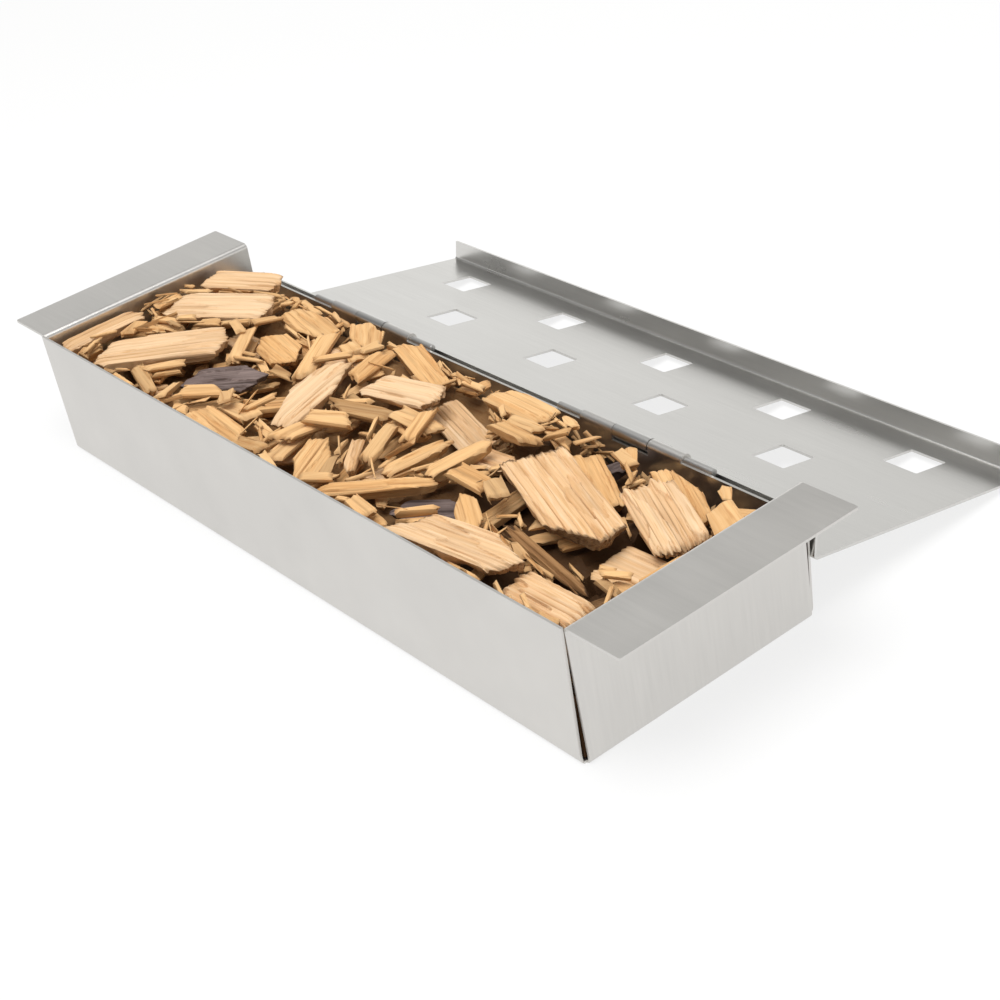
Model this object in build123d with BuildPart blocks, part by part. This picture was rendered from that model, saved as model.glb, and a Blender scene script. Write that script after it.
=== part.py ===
from build123d import *
from dataclasses import dataclass
from math import asin, atan2, cos, degrees, hypot, radians, sin, sqrt, tan
import os

import numpy as np

# Stainless smoker box, in millimetres: a folded sheet tray with a handle flange at each end, a
# perforated lid hinged on the tray's low rear wall, two hinge pins, and the load of wood chips.
# The origin is the middle of the tray's underside. X runs along the tray, +Y to the hinged rear
# wall and +Z up. The lid is stored swung right over, its front fold just above the table.

# Sheet metal
sheet = 0.9
bend_radius = 1.8
corner_radius = 0.8

# Tray
tray_length = 308.0
tray_width = 96.0
tray_height = 49.0
rear_wall_height = 35.0
handle_reach = 23.0
handle_setback = 0.1
rear_setback = 0.9
seam_at_top = 0.3
seam_at_foot = 1.2

# Lid
lid_overhang = 0.5
lid_seat_gap = 0.2
front_clearance = 3.4
front_flange_depth = 8.6
flange_edge_gap = 0.6
table_gap = 0.1

# Smoke holes: a full row near the front and a staggered row along the middle
hole_side = 15.0
hole_corner_radius = 0.7
front_row_holes = 5
row_spacing = 31.0

# Hinges
pin_diameter = 2.8
pin_length = 76.0
pin_end_bevel = 0.4
pin_end_inset = 42.0
running_clearance = 0.08
crimp = 0.02
tray_knuckle_length = 16.0
lid_knuckle_length = 17.0
knuckle_end_gap = 0.3
knuckle_swing_gap = 0.4
curl_sweep = 285.0
curl_root = 180.0

# Wood chips
lid_room = 0.6
chip_wall_gap = 1.4
chip_gap = 0.3
cell_margin = 0.9
cell_size = 1.0
chip_bevel = 14.0
steepest_lean = 11.0
chip_slide = 5.0
chip_twist = 10.0
slide_tries = 5
twist_tries = 3
under_chip_count = 20
under_chip_length = 27.0
under_chip_width = 12.0
under_chip_thickness = 3.0
under_chip_depth = 8.5
small_chip_count = 90
small_chip_length = 15.0
small_chip_width = 6.0
small_chip_thickness = 2.0
small_chip_depth = 8.0
small_chip_lean = 7.0
chip_size_spread = 0.2
places_tried = 8
rear_heap_rise = 1.0
rear_heap_slope = 40.0
bed_wall_gap = 1.5
bed_steps = 26
bed_rows = 7
bed_row_overlap = 0.8
groove_depth = 0.9
groove_width = 1.1

# Sizes that follow from the driving dimensions
middle_bend = bend_radius - sheet / 2
half_length = tray_length / 2
half_width = tray_width / 2
inner_half_length = half_length - sheet
inner_half_width = half_width - sheet
pin_radius = pin_diameter / 2
lid_bore = pin_radius + running_clearance
tray_bore = pin_radius - crimp
axis_y = half_width + tray_bore
axis_z = rear_wall_height
notch_reach = lid_bore + sheet + knuckle_swing_gap
lid_top = tray_height + lid_seat_gap + sheet - axis_z
lid_half_length = half_length + lid_overhang
lid_rear = axis_y - half_width
lid_front = axis_y + half_width + front_clearance + sheet
hole_pitch = tray_length / front_row_holes
lid_middle = (lid_rear + lid_front) / 2
golden_turn = 180 * (3 - sqrt(5))

# The lid swings over until its front fold is a table gap above the table. The centre of that fold
# stands at a fixed distance from the hinge, so its height gives the swing past the horizontal.
fold_reach = lid_front - bend_radius
fold_rise = lid_top - bend_radius
fold_drop = axis_z - bend_radius - table_gap
swing_past_flat = asin(fold_drop / hypot(fold_reach, fold_rise)) - atan2(fold_rise, fold_reach)
open_angle = 180.0 + degrees(swing_past_flat)

os.makedirs("parts", exist_ok=True)


def hinge_side_plane(turn):
    """A plane square to the hinge axis, turned about it from the closed lid's position."""
    return Plane(
        origin=(0, axis_y, axis_z),
        x_dir=(0, cos(radians(turn)), sin(radians(turn))),
        z_dir=(1, 0, 0),
    )


def knuckle_spans(lid_side):
    """Middle and length, along X, of each hinge knuckle of the lid or of the tray."""
    spans = []
    for side in (-1, 1):
        middle = side * (half_length - pin_end_inset - pin_length / 2)
        if lid_side:
            spans.append((middle, lid_knuckle_length))
        else:
            step = (lid_knuckle_length + tray_knuckle_length) / 2 + knuckle_end_gap
            spans.append((middle - step, tray_knuckle_length))
            spans.append((middle + step, tray_knuckle_length))
    return spans


def curl_face(bore, start):
    """The rolled sheet of one knuckle, drawn about the hinge axis from its start angle."""
    with BuildLine() as outline:
        outer = CenterArc((0, 0), bore + sheet, start, curl_sweep)
        inner = CenterArc((0, 0), bore, start, curl_sweep)
        Line(outer @ 0, inner @ 0)
        Line(outer @ 1, inner @ 1)
    make_face(outline.edges())


# Tray: a channel for the floor and long walls, crossed by a strip for the floor, the end walls
# and the handle flanges. The two share the floor, and the four corner seams stay open.
with BuildPart() as tray:
    with BuildSketch(Plane.YZ):
        with BuildLine():
            wall_y = half_width - sheet / 2
            FilletPolyline(
                (wall_y, rear_wall_height),
                (wall_y, sheet / 2),
                (-wall_y, sheet / 2),
                (-wall_y, tray_height),
                radius=middle_bend,
            )
        trace(line_width=sheet)
    extrude(amount=inner_half_length - seam_at_foot, both=True)

    # The long walls widen towards their tops, which narrows the seams.
    for side in (-1, 1):
        wall_top = rear_wall_height if side > 0 else tray_height
        foot = inner_half_length - seam_at_foot
        top = inner_half_length - seam_at_top + sheet
        with BuildSketch(Plane.XZ.offset(-side * half_width)):
            with BuildLine():
                Polyline(
                    (-foot, bend_radius),
                    (foot, bend_radius),
                    (top, wall_top),
                    (-top, wall_top),
                    close=True,
                )
            make_face()
        extrude(amount=side * sheet)

    with BuildSketch(Plane.XZ.offset(inner_half_width - handle_setback)):
        with BuildLine():
            wall_x = half_length - sheet / 2
            tip_x = half_length + handle_reach
            FilletPolyline(
                (-tip_x, tray_height - sheet / 2),
                (-wall_x, tray_height - sheet / 2),
                (-wall_x, sheet / 2),
                (wall_x, sheet / 2),
                (wall_x, tray_height - sheet / 2),
                (tip_x, tray_height - sheet / 2),
                radius=middle_bend,
            )
        trace(line_width=sheet)
    extrude(amount=handle_setback + rear_setback - 2 * inner_half_width)

    # The end walls' edges lean inwards to the foot.
    for end, side in ((-1, -1), (-1, 1), (1, -1), (1, 1)):
        with BuildSketch(Plane.YZ.offset(end * (half_length - bend_radius))):
            with BuildLine():
                setback = rear_setback if side > 0 else handle_setback
                edge = side * (inner_half_width - setback)
                Polyline(
                    (edge, tray_height - bend_radius),
                    (edge, 0),
                    (edge - side * (seam_at_foot - seam_at_top), 0),
                    close=True,
                )
            make_face()
        extrude(amount=end * (bend_radius + sheet), mode=Mode.SUBTRACT)

    upright_edges = tray.edges().filter_by(Axis.Z)
    flange_corners = upright_edges.filter_by_position(Axis.X, -tip_x - sheet, -tip_x + sheet)
    flange_corners += upright_edges.filter_by_position(Axis.X, tip_x - sheet, tip_x + sheet)
    fillet(flange_corners, corner_radius)

    # Hinge knuckles rolled outwards from the rear wall's top, and room for the lid's knuckles
    for middle, length in knuckle_spans(lid_side=False):
        with BuildSketch(hinge_side_plane(0).offset(middle)):
            curl_face(tray_bore, curl_root - curl_sweep)
        extrude(amount=length / 2, both=True)
    for middle, length in knuckle_spans(lid_side=True):
        with BuildSketch(Plane.XZ.offset(-half_width)):
            with Locations((middle, axis_z)):
                Rectangle(length + 2 * knuckle_end_gap, 2 * notch_reach)
        extrude(amount=sheet, mode=Mode.SUBTRACT)
tray.part.label = "tray"
export_step(tray.part, "parts/tray.step")

# Lid: one folded sheet between a rear flange at the hinge and a front flange that hangs outside
# the tray's front wall. It is drawn in its closed position and stored turned open.
lid_plane = hinge_side_plane(-open_angle)
lid_sheet_plane = Plane(
    origin=lid_plane.origin, x_dir=lid_plane.z_dir, z_dir=lid_plane.y_dir
)
with BuildPart() as lid:
    with BuildSketch(lid_plane):
        with BuildLine():
            FilletPolyline(
                (-lid_bore - sheet / 2, flange_edge_gap),
                (-lid_bore - sheet / 2, lid_top - sheet / 2),
                (-lid_front + sheet / 2, lid_top - sheet / 2),
                (-lid_front + sheet / 2, lid_top - front_flange_depth),
                radius=middle_bend,
            )
        trace(line_width=sheet)
    extrude(amount=lid_half_length, both=True)

    # Five square smoke holes near the front, and four on the middle line, half a pitch over
    with BuildSketch(lid_sheet_plane.offset(lid_top)):
        with Locations((0, -lid_middle - row_spacing)):
            with GridLocations(hole_pitch, row_spacing, front_row_holes, 1):
                RectangleRounded(hole_side, hole_side, hole_corner_radius)
        with Locations((0, -lid_middle)):
            with GridLocations(hole_pitch, row_spacing, front_row_holes - 1, 1):
                RectangleRounded(hole_side, hole_side, hole_corner_radius)
    extrude(amount=-2 * sheet, mode=Mode.SUBTRACT)

    # The lid's knuckles hang below its rear flange, which is cut away over the tray's knuckles.
    for middle, length in knuckle_spans(lid_side=True):
        with BuildSketch(lid_plane.offset(middle)):
            curl_face(lid_bore, curl_root)
            with Locations((-lid_bore - sheet / 2, flange_edge_gap)):
                Rectangle(sheet, 2 * flange_edge_gap)
        extrude(amount=length / 2, both=True)
    for middle, length in knuckle_spans(lid_side=False):
        with BuildSketch(lid_plane.offset(middle)):
            with Locations((-lid_bore - sheet / 2, 0)):
                Rectangle(2 * sheet, 2 * notch_reach)
        extrude(amount=length / 2 + knuckle_end_gap, both=True, mode=Mode.SUBTRACT)
lid.part.label = "lid"
export_step(lid.part, "parts/lid.step")

# Hinge pins: two alike, crimped in the tray's knuckles
with BuildPart() as hinge_pins:
    for middle, _ in knuckle_spans(lid_side=True):
        with BuildSketch(hinge_side_plane(0).offset(middle - pin_length / 2)):
            Circle(pin_radius)
        extrude(amount=pin_length)
    pin_rims = hinge_pins.edges().filter_by(GeomType.CIRCLE)
    chamfer(pin_rims, pin_end_bevel)
hinge_pins.part.label = "hinge_pins"
export_step(hinge_pins.part, "parts/hinge_pins.step")

# Outlines of split wood, in half lengths along the grain and half widths across it
SLAB = ((-1.0, -0.7), (-0.8, -1.0), (0.9, -0.9), (1.0, 0.0), (0.85, 1.0), (-0.9, 0.9))
WEDGE = ((-1.0, -0.5), (0.1, -1.0), (1.0, -0.5), (0.9, 0.4), (0.0, 1.0), (-0.9, 0.6))
STICK = ((-1.0, 0.1), (-0.9, -1.0), (0.7, -0.9), (1.0, -0.2), (0.9, 0.9), (-0.8, 1.0))
FLAKE = ((-1.0, -0.3), (-0.4, -1.0), (0.6, -0.9), (1.0, 0.2), (0.4, 1.0), (-0.7, 0.8))
ANGLED = ((-0.95, -1.0), (0.45, -1.0), (1.0, 0.05), (0.8, 0.9), (-1.0, 0.9))
POINTED = ((-1.0, -0.8), (0.7, -0.9), (1.0, 0.1), (0.4, 1.0), (-0.6, 0.9))


@dataclass(frozen=True)
class Chip:
    """One wood chip: its place in half lengths and half widths of the tray, and its own size.

    Its depth is how far the middle of its upper face lies under the tray's rim. Its lean is how
    many degrees it rises along its length and across its width; None follows what lies over it.
    """

    name: str
    along: float
    across: float
    turn: float
    length: float
    width: float
    thickness: float
    outline: tuple
    depth: float
    lean: tuple = None
    grooves: int = 0


class Heap:
    """The room left in the tray, as the height of what lies above each cell of a square grid."""

    def __init__(self):
        along_x = np.arange(-inner_half_length, inner_half_length, cell_size)
        across_y = np.arange(-inner_half_width, inner_half_width, cell_size)
        self.x, self.y = np.meshgrid(along_x, across_y)
        self.above = np.full(self.x.shape, tray_height + lid_seat_gap - lid_room)

    def under(self, corners):
        """The cells under a convex outline, with a margin round it."""
        inside = np.full(self.x.shape, True)
        for (x0, y0), (x1, y1) in zip(corners, corners[1:] + corners[:1]):
            side = hypot(x1 - x0, y1 - y0)
            beyond = ((self.x - x0) * (y1 - y0) - (self.y - y0) * (x1 - x0)) / side
            inside &= beyond < cell_margin
        return inside

    def fit(self, chip, turn, slide_x, slide_y):
        """Fit a chip at one turn and slide: at its depth, or lower where the room needs it."""
        corners = []
        for u, v in chip.outline:
            x, y = u * chip.length / 2, v * chip.width / 2
            corners.append((x * cos(turn) - y * sin(turn), x * sin(turn) + y * cos(turn)))
        room_x = inner_half_length - chip_wall_gap - max(abs(x) for x, _ in corners)
        room_y = inner_half_width - chip_wall_gap - max(abs(y) for _, y in corners)
        cx = min(max(chip.along * inner_half_length + slide_x, -room_x), room_x)
        cy = min(max(chip.across * inner_half_width + slide_y, -room_y), room_y)

        cells = self.under([(cx + x, cy + y) for x, y in corners])
        dx, dy, above = self.x[cells] - cx, self.y[cells] - cy, self.above[cells]
        if chip.lean:
            rise_along, rise_across = (tan(radians(angle)) for angle in chip.lean)
            slope_x = rise_along * cos(turn) - rise_across * sin(turn)
            slope_y = rise_along * sin(turn) + rise_across * cos(turn)
        else:
            fit = np.linalg.lstsq(np.c_[dx, dy, np.ones_like(dx)], above, rcond=None)[0]
            limit = tan(radians(steepest_lean))
            share = min(1, limit / max(hypot(fit[0], fit[1]), limit))
            slope_x, slope_y = share * fit[0], share * fit[1]
        top = min(tray_height - chip.depth, float(np.min(above - slope_x * dx - slope_y * dy)))
        return top, cx, cy, turn, slope_x, slope_y, cells

    def place(self, chip):
        """Give a chip its plane. It slides and twists a little if it can lie higher for that."""
        highest = self.fit(chip, radians(chip.turn), 0, 0)
        for twist in np.linspace(-chip_twist, chip_twist, twist_tries):
            for slide_x in np.linspace(-chip_slide, chip_slide, slide_tries):
                for slide_y in np.linspace(-chip_slide, chip_slide, slide_tries):
                    found = self.fit(chip, radians(chip.turn + twist), slide_x, slide_y)
                    if found[0] > highest[0] + chip_gap:
                        highest = found
        top, cx, cy, turn, slope_x, slope_y, cells = highest
        bottom = top - chip.thickness * sqrt(1 + slope_x ** 2 + slope_y ** 2)
        leaning = slope_x * (self.x[cells] - cx) + slope_y * (self.y[cells] - cy)
        self.above[cells] = bottom + leaning - chip_gap
        return Plane(
            origin=(cx, cy, bottom),
            x_dir=(cos(turn), sin(turn), slope_x * cos(turn) + slope_y * sin(turn)),
            z_dir=(-slope_x, -slope_y, 1),
        )

    def fall_to_rear(self):
        """Keep what comes next under a slope that falls to just over the low rear wall."""
        from_wall = (inner_half_width - self.y) * tan(radians(rear_heap_slope))
        self.above = np.minimum(self.above, rear_wall_height + rear_heap_rise + from_wall)

    def room_over(self, x, y, length, width):
        """The lowest height free over a rectangle of the floor."""
        near = (abs(self.x - x) < length / 2 + cell_size) & (abs(self.y - y) < width / 2 + cell_size)
        return float(np.min(self.above[near]))

    def open_place(self, number, length):
        """The most open of a few places, in half lengths and half widths of the tray.

        The places are steps of the plastic number's powers, which spread evenly and never repeat.
        """
        plastic_number = 1.3247
        roomiest = None
        for step in range(number * places_tried, (number + 1) * places_tried):
            along = 2 * (step / plastic_number % 1) - 1
            across = 2 * (step / plastic_number ** 2 % 1) - 1
            room = self.room_over(along * inner_half_length, across * inner_half_width, length, length)
            if roomiest is None or room > roomiest[0]:
                roomiest = (room, along, across)
        return roomiest[1:]


def under_chips(heap):
    """Chips of middling size that lie in the gaps between the top ones, at golden turns."""
    for number in range(under_chip_count):
        yield Chip(
            f"under_chip_{number + 1:02d}",
            *heap.open_place(number, under_chip_width),
            golden_turn * number % 180,
            under_chip_length * (1 + chip_size_spread * cos(number)),
            under_chip_width * (1 + chip_size_spread * sin(2 * number)),
            under_chip_thickness,
            (SLAB, WEDGE, STICK)[number % 3],
            under_chip_depth,
        )


def small_chips(heap):
    """Small chips that fill the gaps left, each leaning its own way."""
    for number in range(small_chip_count):
        yield Chip(
            "small_chips",
            *heap.open_place(number, small_chip_width),
            golden_turn * number % 180,
            small_chip_length * (1 + chip_size_spread * cos(3 * number)),
            small_chip_width * (1 + chip_size_spread * sin(number)),
            small_chip_thickness,
            (WEDGE, STICK, POINTED)[number % 3],
            small_chip_depth,
            (small_chip_lean * sin(number), small_chip_lean * cos(2 * number)),
        )


# The chips that show, from the topmost to the lowest
top_chips = [
    Chip("ribbed_slab", 0.62, 0.06, -21, 66, 26, 6.5, ANGLED, 4.0, (1, -5), 5),
    Chip("front_slab", 0.56, -0.70, 7, 62, 17, 5.0, POINTED, 4.5, (2, 4), 3),
    Chip("pale_near_chip", 0.81, 0.26, -16, 44, 20, 4.5, SLAB, 6.5, (-3, 3), 3),
    Chip("white_middle_slab", -0.04, 0.32, 8, 38, 16, 4.0, SLAB, 5.0, (4, 3)),
    Chip("far_rear_slab", -0.79, 0.26, 30, 48, 20, 5.0, SLAB, 3.0, (0, 3)),
    Chip("far_cross_slab", -0.73, -0.42, 45, 54, 25, 5.0, SLAB, 3.5, (1, -3)),
    Chip("far_left_slab", -0.95, -0.57, 90, 38, 12, 4.5, SLAB, 3.0, (0, 3)),
    Chip("far_right_slab", -0.87, 0.65, 25, 38, 15, 4.5, SLAB, 3.5, (0, 3)),
    Chip("far_middle_slab", -0.58, 0.52, 8, 40, 17, 4.5, WEDGE, 5.5, (2, -4)),
    Chip("pale_middle_slab", -0.20, 0.02, 124, 46, 20, 5.0, WEDGE, 6.0, (5, -4)),
    Chip("long_front_stick", 0.24, -0.60, 36, 46, 8, 4.5, STICK, 6.0, (4, 0)),
    Chip("fibrous_corner_chip", 0.86, -0.78, 8, 40, 15, 6.0, SLAB, 6.5, (2, 6)),
    Chip("second_cross_stick", 0.33, -0.06, 88, 28, 8, 4.5, STICK, 6.0, (6, 0)),
    Chip("first_cross_stick", 0.21, -0.18, 76, 28, 7, 4.5, STICK, 6.5, (5, 3)),
    Chip("split_twig", 0.73, -0.42, -16, 52, 6, 3.5, STICK, 9.5, (-8, 0)),
    Chip("small_pointed_chip", 0.50, -0.27, -22, 27, 10, 3.5, FLAKE, 8.0, (-4, 5)),
    Chip("near_flake", 0.34, 0.10, 12, 30, 14, 4.0, FLAKE, 7.5, (3, -6)),
    Chip("centre_slab", 0.14, 0.34, -14, 40, 15, 4.5, SLAB, 7.0, (-5, 4)),
    Chip("bark_flake", -0.50, -0.34, 34, 38, 17, 3.5, FLAKE, 8.0, (3, 5)),
    Chip("front_far_chip", -0.28, -0.70, 6, 32, 15, 4.5, SLAB, 7.0, (-4, 4)),
    Chip("front_split_chip", -0.30, -0.30, 29, 30, 11, 4.0, STICK, 7.0, (3, 0)),
    Chip("middle_flake", -0.46, 0.08, -6, 36, 16, 4.0, FLAKE, 6.5, (4, 4)),
    Chip("middle_rear_chip", -0.42, 0.68, -13, 30, 15, 4.5, WEDGE, 8.5, (4, -7)),
    Chip("front_block", 0.00, -0.62, 131, 28, 15, 5.5, WEDGE, 8.0, (6, 4)),
    Chip("upright_stick", 0.11, -0.36, -33, 30, 6, 4.5, STICK, 7.0, (6, 0)),
    Chip("behind_ribbed_chip", 0.57, 0.56, -19, 44, 19, 5.0, SLAB, 8.0, (3, -6)),
    Chip("yellow_rear_chip", 0.78, 0.64, -8, 38, 15, 5.0, WEDGE, 10.0, (-3, -8)),
    Chip("rear_slab", 0.20, 0.72, 4, 36, 16, 4.5, SLAB, 9.5, (3, -8)),
    Chip("rear_long_chip", -0.12, 0.80, -8, 42, 12, 4.5, STICK, 9.5, (-2, -7)),
    Chip("rear_bark_stick", 0.46, 0.76, 72, 18, 7, 4.5, STICK, 9.0, (8, 0)),
    Chip("middle_bark", 0.36, -0.45, 41, 30, 14, 3.5, FLAKE, 10.0, (-4, 4)),
    Chip("flat_end_chip", 0.90, -0.08, 16, 26, 20, 4.0, SLAB, 12.0, (-5, 4)),
    Chip("corner_stick", 0.88, -0.42, 62, 32, 6, 3.5, STICK, 13.0, (6, 0)),
]


def carve(chip, plane):
    """Cut one chip from its outline, bevelled to its top face, with grooves along the grain."""
    with BuildSketch(plane) as face:
        with BuildLine():
            Polyline(*[(u * chip.length / 2, v * chip.width / 2) for u, v in chip.outline], close=True)
        make_face()
    extrude(face.sketch, amount=chip.thickness, taper=chip_bevel)
    if chip.grooves:
        with BuildSketch(plane.offset(chip.thickness)) as grooves:
            with GridLocations(chip.length, chip.width / (chip.grooves + 2), 1, chip.grooves):
                Rectangle(2 * chip.length, groove_width)
        extrude(grooves.sketch, amount=-groove_depth, mode=Mode.SUBTRACT)


heap = Heap()
for chip in top_chips:
    with BuildPart() as chip_body:
        carve(chip, heap.place(chip))
    chip_body.part.label = chip.name
    export_step(chip_body.part, f"parts/{chip.name}.step")

heap.fall_to_rear()
for chip in under_chips(heap):
    with BuildPart() as chip_body:
        carve(chip, heap.place(chip))
    chip_body.part.label = chip.name
    export_step(chip_body.part, f"parts/{chip.name}.step")

with BuildPart() as small_chip_group:
    for chip in small_chips(heap):
        carve(chip, heap.place(chip))
small_chip_group.part.label = "small_chips"
export_step(small_chip_group.part, "parts/small_chips.step")

# The rest of the load, mostly out of sight: rows of steps that reach up to the lowest chips
with BuildPart() as chip_bed:
    bed_half_length = inner_half_length - bed_wall_gap
    bed_half_width = inner_half_width - bed_wall_gap
    step_length = 2 * bed_half_length / bed_steps
    row_width = 2 * bed_half_width / bed_rows
    for row in range(bed_rows):
        row_y = (row + 0.5) * row_width - bed_half_width
        with BuildSketch(Plane.XZ.offset(-row_y)):
            for step in range(bed_steps):
                step_x = (step + 0.5) * step_length - bed_half_length
                room = heap.room_over(step_x, row_y, step_length, row_width + bed_row_overlap)
                with Locations((step_x, (sheet + room) / 2)):
                    Rectangle(step_length, room - sheet)
        extrude(amount=(row_width + bed_row_overlap) / 2, both=True)
chip_bed.part.label = "chip_bed"
export_step(chip_bed.part, "parts/chip_bed.step")

print(f"lid swings open {open_angle:.3f} degrees")
print(f"hinge axis y {axis_y:.3f} z {axis_z:.3f}")
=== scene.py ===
"""Stainless smoker box full of wood chips, on a pale studio floor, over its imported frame."""
import logging
import math
from dataclasses import dataclass, field, replace
from enum import Enum

import bpy
import numpy as np
from mathutils import Matrix, Quaternion, Vector


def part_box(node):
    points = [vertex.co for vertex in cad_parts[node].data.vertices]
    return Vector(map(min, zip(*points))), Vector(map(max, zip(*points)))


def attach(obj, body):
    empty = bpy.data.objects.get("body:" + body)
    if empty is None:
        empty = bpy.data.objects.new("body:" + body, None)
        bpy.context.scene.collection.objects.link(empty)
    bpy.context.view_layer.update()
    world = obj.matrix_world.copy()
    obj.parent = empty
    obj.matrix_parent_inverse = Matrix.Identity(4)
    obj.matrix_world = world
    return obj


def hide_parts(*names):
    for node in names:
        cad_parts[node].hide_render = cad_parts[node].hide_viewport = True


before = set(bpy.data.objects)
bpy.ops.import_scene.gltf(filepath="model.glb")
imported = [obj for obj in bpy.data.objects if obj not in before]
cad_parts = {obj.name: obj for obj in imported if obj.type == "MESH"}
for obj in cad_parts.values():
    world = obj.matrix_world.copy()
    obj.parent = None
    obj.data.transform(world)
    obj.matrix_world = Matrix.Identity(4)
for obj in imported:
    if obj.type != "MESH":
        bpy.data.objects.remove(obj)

LOG = logging.getLogger("smoker_box")
MM = 0.001
TINY = 1e-6
TRAY_BODY = "tray_body"
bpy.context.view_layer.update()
HASH_FACTORS = (73856093, 19349663, 83492791)
SEED_FACTOR = 2654435761
MIX_FACTOR = 1274126177
HASH_MASK = 0x7FFFFFFF
HASH_STEPS = 65536
LAYER_SEEDS_APART = 17


class Slot(Enum):
    """The record's material slots that this scene's own pieces take."""

    SPLIT = "split_wood"
    PALE = "pale_wood"
    BARK = "bark"


class Wood(Enum):
    """The sorts of wood, each with the slot that it belongs to."""

    TAN = ("tan", Slot.SPLIT)
    BROWN = ("brown", Slot.SPLIT)
    PALE = ("pale", Slot.PALE)
    BARK = ("bark", Slot.BARK)

    @property
    def slot(self) -> Slot:
        """The record's slot."""
        return self.value[1]


class Attribute(Enum):
    """The values that each point of a chip carries for its wood."""

    GRAIN = "grain"
    SHADE = "shade"


# Noise and shells
def value_noise(points: np.ndarray, seed: int) -> np.ndarray:
    """Smooth random values of places in space.

    Each whole-number corner of a unit grid has a hashed value from 0 to 1. A place takes the
    eight corners round it, blended with weights 3w^2 - 2w^3 of its distance w into the cell.

    Args:
        points: Places, one row of three each, in grid cells.
        seed: Which field of values.

    Returns:
        One value from 0 to 1 for each place.
    """
    base = np.floor(points).astype(np.int64)
    w = points - base
    w = w * w * (3.0 - 2.0 * w)
    total = np.zeros(len(points))
    for corner in np.ndindex(2, 2, 2):
        cell = (base + np.array(corner)) * np.array(HASH_FACTORS)
        mixed = cell[:, 0] ^ cell[:, 1] ^ cell[:, 2]
        mixed = (mixed ^ (seed * SEED_FACTOR)) & HASH_MASK
        mixed = ((mixed ^ (mixed >> 13)) * MIX_FACTOR) & HASH_MASK
        mixed = mixed ^ (mixed >> 16)
        weight = np.prod(np.where(np.array(corner) == 1, w, 1.0 - w), axis=1)
        total += weight * (mixed % HASH_STEPS) / (HASH_STEPS - 1.0)
    return total


def layered_noise(points: np.ndarray, seed: int, layers: int) -> np.ndarray:
    """Sum of value noises, each layer twice as fine and half as strong as the last.

    Args:
        points: Places, one row of three each, in cells of the coarsest layer.
        seed: Which field of values.
        layers: How many layers.

    Returns:
        One value of about -1 to 1 for each place.
    """
    total, strength, scale = np.zeros(len(points)), 0.5, 1.0
    for layer in range(layers):
        values = value_noise(points * scale, seed + LAYER_SEEDS_APART * layer)
        total += strength * (2.0 * values - 1.0)
        strength, scale = strength / 2, scale * 2
    return total


@dataclass(frozen=True)
class BlockShell:
    """The outside of a block of grid points, as shares s, t and w of its three sides."""

    along: int
    across: int
    through: int

    def build(self) -> tuple[np.ndarray, np.ndarray]:
        """Number the block's outer points and join them with quads that face outwards.

        Returns:
            The shares (s, t, w) of each outer point, and the quads as rows of point numbers.
        """
        counts = np.array([self.along, self.across, self.through])
        index = np.stack(np.meshgrid(*[np.arange(n) for n in counts], indexing="ij"), axis=-1)
        outer = np.any((index == 0) | (index == counts - 1), axis=-1)
        number = np.full(outer.shape, -1)
        number[outer] = np.arange(outer.sum())
        shares = index[outer] / (counts - 1)
        quads = []
        for axis in range(3):
            for end, flip in ((0, True), (counts[axis] - 1, False)):
                face = np.take(number, end, axis=axis)
                corners = np.stack(
                    [face[:-1, :-1], face[1:, :-1], face[1:, 1:], face[:-1, 1:]], axis=-1
                ).reshape(-1, 4)
                if flip != (axis == 1):
                    corners = corners[:, ::-1]
                quads.append(corners)
        return shares, np.concatenate(quads)


@dataclass
class MeshBatch:
    """Chips that share one object: their points, quads and the values their wood reads."""

    points: list[np.ndarray] = field(default_factory=list)
    quads: list[np.ndarray] = field(default_factory=list)
    grain: list[np.ndarray] = field(default_factory=list)
    shade: list[np.ndarray] = field(default_factory=list)
    count: int = 0

    def add(
        self, points: np.ndarray, quads: np.ndarray, grain: np.ndarray, shade: np.ndarray
    ) -> None:
        """Add one chip.

        Args:
            points: Its points, in metres.
            quads: Its quads, as its own point numbers.
            grain: Each point's place in the wood, in millimetres.
            shade: Each point's painted shade and torn colour, tone, and burn with painted depth
                shade, from 0 to 1.
        """
        self.points.append(points)
        self.quads.append(quads + self.count)
        self.grain.append(grain)
        self.shade.append(shade)
        self.count += len(points)

    def make(self, name: str, material: bpy.types.Material, sharp_deg: float) -> bpy.types.Object:
        """Turn the chips into one object.

        Args:
            name: The object's name.
            material: The wood it shows.
            sharp_deg: The angle past which an edge stays sharp.

        Returns:
            The new object, at the origin, with its place in its mesh.
        """
        points = np.concatenate(self.points)
        quads = np.concatenate(self.quads)
        mesh = bpy.data.meshes.new(name)
        mesh.vertices.add(len(points))
        mesh.vertices.foreach_set("co", points.astype(np.float32).ravel())
        mesh.loops.add(quads.size)
        mesh.loops.foreach_set("vertex_index", quads.astype(np.int32).ravel())
        mesh.polygons.add(len(quads))
        mesh.polygons.foreach_set("loop_start", np.arange(0, quads.size, 4, dtype=np.int32))
        mesh.update(calc_edges=True)
        mesh.validate()
        for label, rows in ((Attribute.GRAIN, self.grain), (Attribute.SHADE, self.shade)):
            layer = mesh.attributes.new(label.value, "FLOAT_VECTOR", "POINT")
            layer.data.foreach_set("vector", np.concatenate(rows).astype(np.float32).ravel())
        mesh.polygons.foreach_set("use_smooth", np.ones(len(mesh.polygons), dtype=bool))
        mesh.set_sharp_from_angle(angle=math.radians(sharp_deg))
        mesh.materials.append(material)
        made = bpy.data.objects.new(name, mesh)
        bpy.context.scene.collection.objects.link(made)
        return made


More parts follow.
